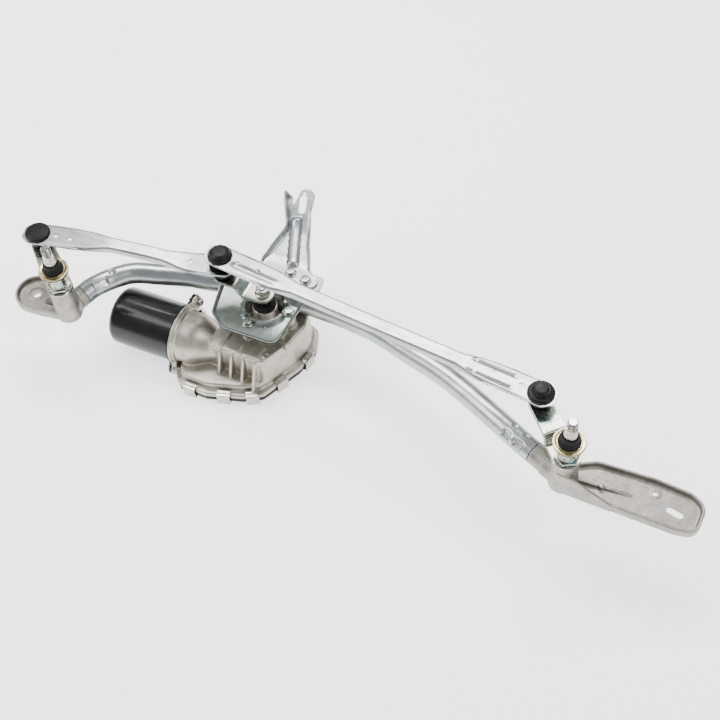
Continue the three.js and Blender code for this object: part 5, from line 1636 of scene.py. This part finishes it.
def flanged_bolts(name: str, spots: Profile, place: Place, shank: float, scatter: Scatter,
                  finish: bpy.types.Material) -> bpy.types.Object:
    """Make one flanged hexagon bolt and set a copy on every spot.

    Args:
        name: The result's name.
        spots: x, y, z and turn of each bolt's bearing face.
        place: The local frame.
        shank: The shank's length.
        scatter: The node tree that sets the copies.
        finish: The bolts' material.

    Returns:
        All the bolts as one mesh.
    """
    head = hexagon_head("head", 9.0, 1.0, 5.0, Place(), 1.1)
    washer = revolved("washer",
                      filleted([(0, 0), (6.2, 0, 0.2), (6.2, 0.8, 0.4), (5.2, 1.6, 0.4), (0, 1.6)]), Place())
    stem = revolved("stem", [(0, -shank), (2.4, -shank), (3.0, -shank + 0.8), (3.0, 0.5), (0, 0.5)], Place())
    shaped(head, washer, Cut.TOGETHER)
    shaped(head, stem, Cut.TOGETHER)
    return scatter.make(name, about_origin(head), spots, place, finish)


@dataclass
class MotorPlate:
    """The pressed pan that the motor hangs from, with its saddle over the tube and its bolts."""

    thickness: float = 2.5
    hole: float = 19.0
    tube_radius: float = TUBE_RADIUS
    saddle_y: float = SADDLE_Y
    saddle_z: float = SADDLE_Z
    wall_run: float = 2.4

    def outline(self) -> np.ndarray:
        """Return the pan's outline with its wall heights, from the rear left corner round the front."""
        return rounded_outline([
            (-60, 34, 3, 6.5), (-57, 8, 10, 6.8), (-50, -27, 12, 3.6), (-31, -41.5, 16, 3.2),
            (29, -41.5, 14, 3.2), (33.5, -27, 9, 5.5), (36.5, 12, 9, 10), (44, 44, 8, 0), (42, 60.5, 4, 0),
            (-31, 60.5, 3, 0), (-31, 39, 4, 0)], 1.6)

    def top(self, at: np.ndarray, gap: np.ndarray, lift: np.ndarray) -> np.ndarray:
        """Return the pan's level: flat, arched over the tube, walled at its edge, beaded round the hole."""
        x, y = at[:, 0], at[:, 1]
        arch = self.tube_radius + FIT + self.thickness + 0.2
        rise = np.sqrt(np.maximum(arch ** 2 - (y - self.saddle_y) ** 2, 0)) + self.saddle_z
        level = soft_max(rise, np.zeros(len(at)), 1.6)
        wall = np.where(y < self.saddle_y + 8, lift, 0) * (1 - ease(0.4, self.wall_run + 1.2, gap)) ** 1.2
        level = soft_max(level, wall, 0.8)
        away = np.hypot(x, y)
        bead = 6.4 * (1 - ease(1.2, 4.6, np.abs(away - self.hole - 3.2)))
        for bx, by in motor_bolts():
            bead = bead * ease(6.6, 9.6, np.hypot(x - bx, y - by))
        front = y < self.saddle_y - 4
        return level + np.where(front, bead, 0)

    def build(self, palette: Palette, scatter: Scatter) -> None:
        """Press the pan, bolt it and hand it over."""
        place = Place()
        holes = [circle(0, 0, self.hole, 72)]
        holes += [circle(x, y, BOLT_HOLE, 20) for x, y in (*motor_bolts(), *REAR_BOLTS)]
        pan = pressed("pressed_pan", self.outline(), holes, self.top, self.thickness, place, 1.5,
                      (0.6, 1.2, 1.8, 2.4, 3.0, 3.8), 0.4)
        palette.hand_over(pan, Slot.PLATE, "frame", "motor_plate")
        spots = [(x, y, FIT, 0.3 + i) for i, (x, y) in enumerate(motor_bolts())]
        made = flanged_bolts("motor_bolts", spots, place, 15.5, scatter, palette.materials[Slot.ZINC])
        palette.hand_over(made, Slot.ZINC, "frame", "motor_bolt_1", "motor_bolt_2", "motor_bolt_3")


@dataclass
class RearArm:
    """The stamped arm that runs back from the pan to a slotted ear."""

    thickness: float = 2.5
    base: float = 0.3
    stations: Profile = ((30, 2.8), (64, 2.8), (104, 12.8), (122, 21.8), (160, 35.7))
    bead_start: tuple[float, float] = (4.0, 60.0)
    bead_end: tuple[float, float] = (-15.0, 113.0)
    bead_radius: float = 6.6
    bead_height: float = 4.6
    slot_at: tuple[float, float] = (-14.6, 129.8)

    def outline(self) -> np.ndarray:
        """Return the arm's outline with the height of the flange along its left edge."""
        return rounded_outline([
            (37, 41, 5, 0), (39, 52, 8, 0), (24, 62, 12, 1.5), (9.5, 92, 20, 2.5), (-1.5, 124, 14, 1.0),
            (-5, 144, 10, 0), (-12, 148, 7, 0), (-22, 146.5, 7, 0), (-24.5, 122, 3, 0), (-28.5, 135, 1, 0),
            (-37, 134.5, 1, 8.5), (-36, 130, 8, 8), (-20, 100, 16, 8.5), (-27, 74, 18, 8), (-31, 60, 4, 5),
            (-31, 41.5, 4, 0)], 1.5)

    def top(self, at: np.ndarray, gap: np.ndarray, lift: np.ndarray) -> np.ndarray:
        """Return the arm's level: its climb, its bead and its upturned edge."""
        level = along_stations(self.stations, at[:, 1], 5)
        start, end = np.array(self.bead_start), np.array(self.bead_end)
        way = end - start
        share = ((at - start) @ way) / (way @ way)
        off = np.abs((at - start) @ np.array([way[1], -way[0]])) / np.linalg.norm(way)
        bead = self.bead_height * np.sqrt(np.clip(1 - (off / self.bead_radius) ** 2, 0, 1))
        bead = bead * ease(-0.04, 0.06, share) * (1 - ease(0.94, 1.06, share))
        wall = lift * (1 - ease(0.5, 3.0, gap)) ** 1.2
        return level + soft_max(bead, wall, 0.5)

    def build(self, palette: Palette, scatter: Scatter) -> None:
        """Press the arm, bolt it and hand it over."""
        holes = [oblong(*self.slot_at, 6.0, 4.2, 106), circle(-17.4, 141.5, 1.9, 18)]
        holes += [circle(x, y, BOLT_HOLE, 20) for x, y in REAR_BOLTS]
        arm = pressed("stamped_rear_arm", self.outline(), holes, self.top, self.thickness, Place(), 1.1,
                      (0.6, 1.2, 1.8, 2.4, 3.2), 0.4)
        palette.hand_over(arm, Slot.GALVANISED, "frame", "rear_arm")
        level = self.base + self.thickness + FIT
        spots = [(x, y, level, 0.6 + i) for i, (x, y) in enumerate(REAR_BOLTS)]
        made = flanged_bolts("rear_arm_bolts", spots, Place(), 13.5, scatter, palette.materials[Slot.ZINC])
        palette.hand_over(made, Slot.ZINC, "frame", "rear_arm_bolt_1", "rear_arm_bolt_2")


# ---- Gear motor --------------------------------------------------------------------------------


@dataclass
class GearMotor:
    """The gear casing with its cover and clips, and the yoke with the electric motor's parts."""

    axis_y: float = -39.0
    axis_z: float = -40.0
    deck: float = -21.0
    foot: float = -68.0
    flange: float = 6.0
    landing: float = 7.5
    face_x: float = -87.0
    face_thickness: float = 6.0
    yoke_radius: float = 32.3
    yoke_length: float = 76.0
    yoke_wall: float = 2.0
    tunnel: float = 9.2
    tower: float = 13.4
    tower_top: float = 6.0
    cover: float = 6.0
    screw_ring: float = 38.8
    screw_angles: tuple[float, ...] = (28, 222)
    wheel_teeth: int = 61
    wheel_rim: float = 30.2
    fin_count: int = 4
    fin_start: float = -30.0
    fin_step: float = 13.8
    contact_count: int = 4
    contact_start: float = -37.0
    contact_step: float = 5.4
    lamination_step: float = 1.9
    boss_y: float = -17.0
    boss_z: float = -20.0
    clip_places: Profile = ((1, 0.42), (2, 0.5), (3, 0.5), (4, 0.5), (5, 0.5), (7, 0.5), (9, 0.5))

    def corners(self) -> list[tuple[float, float, float]]:
        """Return the corners of the casing's lower outline."""
        left = self.face_x + 5
        return [(left, -73, 8), (-70, -87, 8), (-37, -88, 10), (2, -77, 10), (22, -66, 10), (44, -20, 14),
                (50.5, 10, 18), (42, 36, 16), (0, 46, 20), (-50, 44, 16), (-62, 20, 10), (-70, -12, 8),
                (left, -16, 4)]

    def ears(self) -> list[tuple[float, float]]:
        """Return the y and z of the yoke's two screws."""
        return [(self.axis_y + self.screw_ring * math.cos(a), self.axis_z + self.screw_ring * math.sin(a))
                for a in np.radians(self.screw_angles)]

    def level_bar(self, radius: float, x0: float, x1: float, y: float | None = None,
                  z: float | None = None) -> bpy.types.Object:
        """Make a bar along X, on the armature's axis unless told otherwise."""
        y, z = self.axis_y if y is None else y, self.axis_z if z is None else z
        return bar("bar", radius, (x0, y, z), (x1, y, z), Place(), 64)

    def eared_plate(self, radius: float, ear: float, x0: float, x1: float) -> list[bpy.types.Object]:
        """Make a disc across X with two ears for the yoke's screws."""
        made = [self.level_bar(radius, x0, x1)]
        for y, z in self.ears():
            inner = (self.axis_y + (y - self.axis_y) * 0.66, self.axis_z + (z - self.axis_z) * 0.66)
            made += [self.level_bar(ear, x0, x1, y, z), self.level_bar(ear + 5.5, x0, x1, *inner)]
        return made

    def throat(self) -> bpy.types.Object:
        """Make the bell that narrows from the yoke's face to the worm's tunnel."""
        profile = filleted([(0, 0), (29.5, 0), (28.6, 22, 6), (21, 34, 8), (self.tunnel + 5.5, 50, 3),
                            (0, 50)], 6)
        placed = [(r, x + self.face_x + 2) for r, x in profile]
        return revolved("throat", placed, Place(0, self.axis_y, self.axis_z), around_x=True)

    def fins(self, copies: Copies, finish: bpy.types.Material) -> bpy.types.Object:
        """Make the row of upright fins below the deck's front edge."""
        front = self.axis_y - self.tunnel - 5
        side = [(front + 5, self.deck - 1), (front - 1, self.deck - 1), (front - 3.2, self.deck - 3),
                (front - 18, self.foot + 4), (front + 5, self.foot + 4)]
        fin = slanted_prism("fin", side, "x", -1.6, 1.6, Place())
        start = Vector(((datum() + np.array([self.fin_start, 0, 0])) * MM).tolist())
        return copies.make("fins", about_origin(fin), self.fin_count, finish,
                           Vector((self.fin_step * MM, 0, 0)), Vector(), start)

    def deck_ribs(self) -> list[bpy.types.Object]:
        """Make the low ribs that stiffen the deck, and the ejector mark on it."""
        ribs = []
        for x, y, degrees, length in ((-30, -41, 84, 22), (-8, -46, 92, 16), (14, -43, 97, 20),
                                      (30, -24, 140, 18)):
            side = [(-length / 2, self.deck - 2), (length / 2, self.deck - 2),
                    (length / 2 - 1, self.deck + 1.3), (-length / 2 + 1, self.deck + 1.3)]
            base = Place(x, y, 0, math.radians(degrees))
            ribs.append(slanted_prism("rib", side, "y", -0.9, 0.9, base))
        ribs.append(revolved("mark", [(0, self.deck - 2), (4.2, self.deck - 2), (4.2, self.deck + 0.9),
                                      (2.8, self.deck + 0.9), (2.8, self.deck + 0.2), (0, self.deck + 0.2)],
                             Place(20, -43)))
        return ribs

    def casing(self, palette: Palette, copies: Copies) -> bpy.types.Object:
        """Cast the gear casing and bore it."""
        place = Place()
        outline = rounded_outline(self.corners(), 1.2)
        front = self.axis_y - self.tunnel - 5
        left = self.face_x + 42
        deck = rounded_outline([(left, front, 2), (19.8, front, 5), (37, -17, 12), (42.7, 9, 14),
                                (36.5, 29.5, 12), (0, 38.3, 16), (left, 36.5, 12)], 1.2)
        block = stepped("block", deck, [(self.foot + 1, -2.2), (self.foot + 8, -1.8), (self.deck - 1.6, 0),
                                        (self.deck - 0.5, 0.5), (self.deck, 1.6)], place)
        base = prism("base", outline, self.foot, self.foot + self.flange, place, 0.8)
        lip = prism("lip", drawn_in(outline, self.landing - 0.8), self.foot + 2, self.foot + 15, place, 2)
        tower = filleted([(0, self.deck - 4), (self.tower + 3, self.deck - 4),
                          (self.tower + 2, self.deck + 3, 2),
                          (self.tower, self.deck + 9, 2), (self.tower, self.tower_top, 0.6),
                          (0, self.tower_top)])
        x = self.face_x
        pieces = [block, base, lip, revolved("tower", tower, place), self.throat(),
                  *self.eared_plate(self.yoke_radius + 2, 7.4, x, x + 3.4),
                  *self.eared_plate(self.yoke_radius - 0.4, 6.2, x + 2, x + self.face_thickness),
                  self.fins(copies, palette.materials[Slot.GEAR_CASE]), *self.deck_ribs()]
        for bx, by in motor_bolts():
            pieces.append(bar("pillar", 6.4, (bx, by, self.deck - 3), (bx, by, -2.9), place))
        boss_y, boss_z = self.boss_y, self.boss_z
        web = [(x + 2, boss_z - 16), (x + 34, boss_z - 16), (x + 30, boss_z - 6), (x + 2, boss_z - 4)]
        pieces += [bar("screw_boss", 5.6, (x + 14, boss_y, boss_z - 16), (x + 14, boss_y, boss_z), place),
                   slanted_prism("boss_web", web, "y", boss_y - 1.5, boss_y + 1.5, place)]
        body = cast("gear_casing", pieces, 0.95, 4)
        shaped(body, self.bores())
        return body

    def bores(self) -> bpy.types.Object:
        """Make the tool that hollows the casing: wheel chamber, worm bore, output bore, holes and pockets."""
        place, x = Place(), self.face_x
        room = bar("room", 35, (0, 0, self.foot - 20), (0, 0, self.axis_z + 8), place, 72)
        for tool in (self.level_bar(self.tunnel, x - 5, 16), self.level_bar(24, x - 5, x + 20),
                     bar("output", 9, (0, 0, -60), (0, 0, 20), place)):
            shaped(room, tool, Cut.TOGETHER)
        tools = [room]
        tools += [bar("bolt", BOLT_HOLE, (bx, by, -18), (bx, by, 10), place, 24) for bx, by in motor_bolts()]
        for y, z in self.ears():
            tools.append(self.level_bar(4.8, x + self.face_thickness - 0.4, x + 16, y, z))
        tools.append(bar("tapping", 2.1, (x + 14, self.boss_y, self.boss_z - 12),
                         (x + 14, self.boss_y, self.boss_z + 10), place, 24))
        return merged("bores", tools)

    def lid(self) -> bpy.types.Object:
        """Mould the cover with its loom socket."""
        top = self.foot - FIT
        outline = rounded_outline(self.corners(), 1.2)
        plate = prism("moulded_cover", drawn_in(outline, 0.8), top - self.cover, top, Place(), 0.8)
        edge = self.face_x + 14.3
        side = [(-200, -99), (edge, -99), (edge, 0), (-200, 0)]
        shaped(plate, slanted_prism("clear", side, "y", -200, 200, Place()))
        around = rounded_outline([(-44, 38, 2), (-14, 38, 2), (-14, 70, 2.5), (-44, 70, 2.5)], 1.5)
        shell = prism("shell", around, top - self.cover, top + 14, Place(), 0.8)
        block = prism("passed", drawn_in(outline, -0.8), top, top + 30, Place(), 0)
        shaped(shell, block)
        shaped(plate, shell, Cut.TOGETHER)
        inside = [(50, top - 3.5), (71, top - 3.5), (71, top + 11.5), (50, top + 11.5)]
        shaped(plate, slanted_prism("room", inside, "x", -41.5, -16.5, Place()))
        return plate

    def contacts(self, copies: Copies, finish: bpy.types.Material) -> bpy.types.Object:
        """Make the row of flat contacts in the loom socket."""
        side = [(48, self.foot + 2.5), (59, self.foot + 2.5), (60, self.foot + 3.0), (60, self.foot + 3.4),
                (48, self.foot + 3.4)]
        blade = slanted_prism("blade", side, "x", -1.4, 1.4, Place())
        start = Vector(((datum() + np.array([self.contact_start, 0, 0])) * MM).tolist())
        return copies.make("loom_contacts", about_origin(blade), self.contact_count, finish,
                           Vector((self.contact_step * MM, 0, 0)), Vector(), start)

    def clips(self, palette: Palette, scatter: Scatter) -> None:
        """Fold one sheet clip and set a copy at each place on the casing's edge."""
        top = self.foot + self.flange + FIT
        low = self.foot - FIT - self.cover
        out, sheet = 1.7, 1.1
        fold = filleted([(-4.2, top + 0.2), (-5, top + 1.0, 0.3), (-4.0, top + 1.9, 0.4),
                         (0.4, top + sheet, 0.3), (out + sheet, top + sheet, 0.9),
                         (out + sheet, low - sheet - 0.2, 0.9), (-3.4, low - sheet - 0.2, 0.3),
                         (-3.4, low - 0.2, 0.2), (out - 0.1, low - 0.2, 0.4), (out - 0.1, top, 0.3),
                         (-2.0, top)], 4)
        clip = slanted_prism("clip", fold, "y", -7, 7, Place())
        corners, spots = self.corners(), []
        for edge, share in self.clip_places:
            a, b = np.array(corners[int(edge)][:2]), np.array(corners[(int(edge) + 1) % len(corners)][:2])
            at, way = a + (b - a) * share, b - a
            spots.append((at[0], at[1], 0, math.atan2(-way[0], way[1])))
        made = scatter.make("cover_clips", about_origin(clip), spots, Place(), palette.materials[Slot.BRIGHT])
        palette.hand_over(made, Slot.BRIGHT, "frame",
                          *[f"cover_clip_{i + 1}" for i in range(len(self.clip_places))])

    def yoke(self) -> bpy.types.Object:
        """Draw the yoke: a can with a bearing cup at its end and an eared lip at its mouth."""
        mouth = self.face_x - FIT
        end = mouth - self.yoke_length
        r, w = self.yoke_radius, self.yoke_wall
        profile = filleted([(0, end + 0.2), (9.5, end + 0.2, 0.8), (10.8, end + 2.4, 1.2),
                            (17, end + 2.4, 1.2), (18.4, end + 0.2, 1.2), (r - 4.2, end + 0.2, 3),
                            (r - 0.4, end + 4.2, 3), (r, end + 12, 2), (r, mouth), (r - w, mouth),
                            (r - w, end + 6, 2), (r - w - 4, end + 3.4, 1), (0, end + 3.4)], 6)
        can = revolved("drawn_yoke", profile, Place(0, self.axis_y, self.axis_z), around_x=True, segments=112)
        lip = self.eared_plate(r + 1.5, 7.0, mouth - 2, mouth)
        flange = lip[0]
        for part in lip[1:]:
            shaped(flange, part, Cut.TOGETHER)
        inside = self.level_bar(r - w / 2, mouth - 9, mouth + 9)
        shaped(flange, inside)
        for y, z in self.ears():
            shaped(flange, self.level_bar(2.3, mouth - 9, mouth + 9, y, z))
        shaped(can, flange, Cut.TOGETHER)
        return can

    def screws(self) -> bpy.types.Object:
        """Make the two cap screws that hold the yoke."""
        made = []
        for y, z in self.ears():
            x = self.face_x + self.face_thickness + FIT
            cap = filleted([(0, x), (4.2, x, 0.2), (4.2, x + 2.9, 0.5), (3.7, x + 3.4, 0.2),
                            (2.1, x + 3.4, 0.2),
                            (1.9, x + 1.4), (0, x + 1.4)])
            head = revolved("head", cap, Place(0, y, z), around_x=True, segments=40)
            stem = revolved("stem", [(0, self.face_x - 6), (2, self.face_x - 6), (2, x + 0.5), (0, x + 0.5)],
                            Place(0, y, z), around_x=True, segments=24)
            shaped(head, stem, Cut.TOGETHER)
            made.append(head)
        return merged("yoke_cap_screws", made)

    def seal(self) -> bpy.types.Object:
        """Make the stepped seal on the tower."""
        z = self.tower_top + FIT
        profile = filleted([(6.3, z), (12.6, z, 0.3), (12.6, z + 1.4, 0.4), (11.2, z + 1.6, 0.2),
                            (10.9, z + 2.4, 0.3), (11.3, z + 2.8, 0.3), (10.4, z + 4, 0.4),
                            (8.2, z + 4, 0.2), (7.6, z + 3.2, 0.2), (6.3, z + 3.4)])
        return revolved("stepped_seal", profile, Place(), closed=True)

    def wheel(self, copies: Copies, finish: bpy.types.Material) -> bpy.types.Object:
        """Mould the worm wheel: a hub and rim with a tooth for each step of the worm."""
        low, high = (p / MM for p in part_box("worm_wheel"))
        z0, z1 = low[2] - datum()[2], high[2] - datum()[2]
        rim = self.wheel_rim
        profile = filleted([(6.3, z0), (rim, z0, 0.4), (rim, z1, 0.4), (26, z1, 0.4), (25, z1 - 3, 0.4),
                            (12, z1 - 3, 0.4), (11, z1, 0.4), (6.3, z1)])
        disc = revolved("wheel", profile, Place(), closed=True)
        flank = np.array([(rim - 0.6, -1.2, 0), (31.9, -0.5, 0), (31.9, 0.5, 0), (rim - 0.6, 1.2, 0)])
        tooth = prism("tooth", flank, z0 + 0.2, z1 - 0.2, Place(), 0)
        count = self.wheel_teeth
        centre = Vector((datum() * MM).tolist())
        teeth = copies.make("teeth", about_origin(tooth), count, finish, Vector(),
                            Vector((0, 0, 2 * math.pi / count)), centre)
        return merged("toothed_wheel", [disc, teeth])

    def armature(self, copies: Copies, finish: bpy.types.Material) -> bpy.types.Object:
        """Stack the armature's laminations as plain discs."""
        low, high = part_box("armature_core")
        start, end = low.x / MM - datum()[0], high.x / MM - datum()[0]
        radius = (high.z - low.z) / MM / 2 - 0.4
        sheet = revolved("sheet", [(3.9, 0), (radius, 0), (radius, 1.5), (3.9, 1.5)],
                         Place(0, self.axis_y, self.axis_z), around_x=True, segments=72, closed=True)
        count = int((end - start) / self.lamination_step)
        shift = datum() + np.array([start + 0.4, 0, 0])
        return copies.make("lamination_stack", about_origin(sheet), count, finish,
                           Vector((self.lamination_step * MM, 0, 0)), Vector(),
                           Vector((shift * MM).tolist()))

    def build(self, palette: Palette, copies: Copies, scatter: Scatter) -> None:
        """Make the motor's pieces and hand them over."""
        finish = palette.materials
        palette.hand_over(self.casing(palette, copies), Slot.GEAR_CASE, "frame", "gear_housing")
        palette.hand_over(self.lid(), Slot.PLASTIC, "frame", "gear_cover")
        palette.hand_over(self.contacts(copies, finish[Slot.BRIGHT]), Slot.BRIGHT, "frame")
        self.clips(palette, scatter)
        palette.hand_over(self.yoke(), Slot.ENAMEL, "frame", "motor_yoke")
        palette.hand_over(self.screws(), Slot.ZINC, "frame", "yoke_screw_1",
                          "yoke_screw_2")
        palette.hand_over(self.seal(), Slot.RUBBER, "frame", "output_seal")
        palette.hand_over(self.wheel(copies, finish[Slot.NYLON]), Slot.NYLON, "crank", "worm_wheel")
        palette.hand_over(self.armature(copies, finish[Slot.COPPER]), Slot.COPPER, "armature",
                          "armature_core")


# ---- Stage -------------------------------------------------------------------------------------


@dataclass
class Softbox:
    """A large soft light: where it is from the object's middle, its size and its power."""

    offset: tuple[float, float, float]
    size: tuple[float, float]
    watts: float
    tint: str = "#ffffff"


@dataclass
class Stage:
    """The pale floor, the soft studio light and the camera."""

    azimuth: float = 26.88
    elevation: float = 54.74
    roll: float = 4.19
    lens: float = 60.0
    camera_offset: tuple[float, float, float] = (0.442838, -0.660201, 1.007807)
    world: float = 0.6
    floor_half: float = 6.0
    floor_gap: float = 0.002
    floor_glow: float = 1.5
    softboxes: tuple[Softbox, ...] = (
        Softbox((-0.35, 0.75, 1.5), (1.3, 0.5), 36),
        Softbox((-1.3, -0.5, 1.1), (0.8, 1.2), 22),
        Softbox((1.2, -0.3, 1.2), (0.5, 1.0), 12),
    )

    def camera(self) -> None:
        """Place the camera from its angles and its offset from the output axis."""
        az, el, roll = (math.radians(a) for a in (self.azimuth, self.elevation, self.roll))
        forward = Vector((-math.sin(az) * math.cos(el), math.cos(az) * math.cos(el), -math.sin(el)))
        level = Vector((math.cos(az), math.sin(az), 0))
        upright = level.cross(forward)
        right = level * math.cos(roll) - upright * math.sin(roll)
        up = right.cross(forward)
        data = bpy.data.cameras.new("camera")
        data.lens, data.sensor_width = self.lens, 36.0
        eye = linked("camera", data)
        turn = Matrix((right, up, -forward)).transposed().to_4x4()
        at = Vector((datum() * MM).tolist()) + Vector(self.camera_offset)
        eye.matrix_world = Matrix.Translation(at) @ turn
        bpy.context.scene.camera = eye

    def floor(self) -> None:
        """Lay a wide pale floor just under the lowest point."""
        half, z = self.floor_half, CAD_BOX[0][2] - self.floor_gap
        corners = [(-half, -half, z), (half, -half, z), (half, half, z), (-half, half, z)]
        mesh = bpy.data.meshes.new("floor")
        mesh.from_pydata(corners, [], [(0, 1, 2, 3)])
        ground = linked("floor", mesh)
        material, _, shader = bare_material("studio_floor")
        shader.inputs["Base Color"].default_value = linear("#f4f4f3")
        shader.inputs["Roughness"].default_value = 0.9
        shader.inputs["Emission Color"].default_value = linear("#ffffff")
        shader.inputs["Emission Strength"].default_value = self.floor_glow
        mesh.materials.append(material)

    def lights(self) -> None:
        """Hang the softboxes and set the room's light."""
        low, high = (Vector(corner) for corner in CAD_BOX)
        centre = (low + high) / 2
        for i, box in enumerate(self.softboxes):
            data = bpy.data.lights.new(f"softbox_{i + 1}", "AREA")
            data.shape, data.size, data.size_y = "RECTANGLE", box.size[0], box.size[1]
            data.energy = box.watts
            data.color = linear(box.tint)[:3]
            lamp = linked(data.name, data)
            lamp.location = centre + Vector(box.offset)
            lamp.rotation_euler = (-Vector(box.offset)).to_track_quat("-Z", "Y").to_euler()
        world = bpy.data.worlds.new("studio")
        bpy.context.scene.world = world
        world.use_nodes = True
        background = world.node_tree.nodes["Background"]
        background.inputs[0].default_value = linear("#f7f8fa")
        background.inputs[1].default_value = self.world

    def build(self) -> None:
        """Set the stage."""
        self.camera()
        self.lights()
        self.floor()


# ---- The whole object --------------------------------------------------------------------------


def left_stations(length: float) -> Profile:
    """Return the levels along the left link: low at the crank, high at the lever."""
    low, high = 52.0, 67.0
    return [(-17, low), (length * 0.2, low), (length * 0.4, low + (high - low) * 0.62), (length * 0.6, high),
            (length + 17, high)]


def right_stations(length: float) -> Profile:
    """Return the level of the right link, which runs flat."""
    return [(-17, 67.0), (length + 17, 67.0)]


def main() -> None:
    """Build every sub-assembly in order and set the stage."""
    logging.basicConfig(level=logging.INFO, format="%(name)s: %(message)s")
    Stage().build()
    palette, copies, scatter = Palette(), Copies(), Scatter()
    FrameTube().build(palette)
    LeftHousing().build(palette)
    RightHousing().build(palette)
    MotorPlate().build(palette, scatter)
    RearArm().build(palette, scatter)
    GearMotor().build(palette, copies, scatter)
    Crank().build(palette)
    LeverSet("left", 58.3, 138.8).build(palette)
    LeverSet("right", 59.2, 133.7).build(palette)
    Link("left", (50, 68), [(34, 0), (-20, 0), (-36, 2)], left_stations, Cap.OPEN, Cap.FLAT).build(palette)
    Link("right", (78, 74), [(21, 0), (46, 1), (-20, 0), (-48, 2)], right_stations, Cap.FACETED,
         Cap.DOME).build(palette)
    palette.dress_cad()


if __name__ == "__main__":
    main()
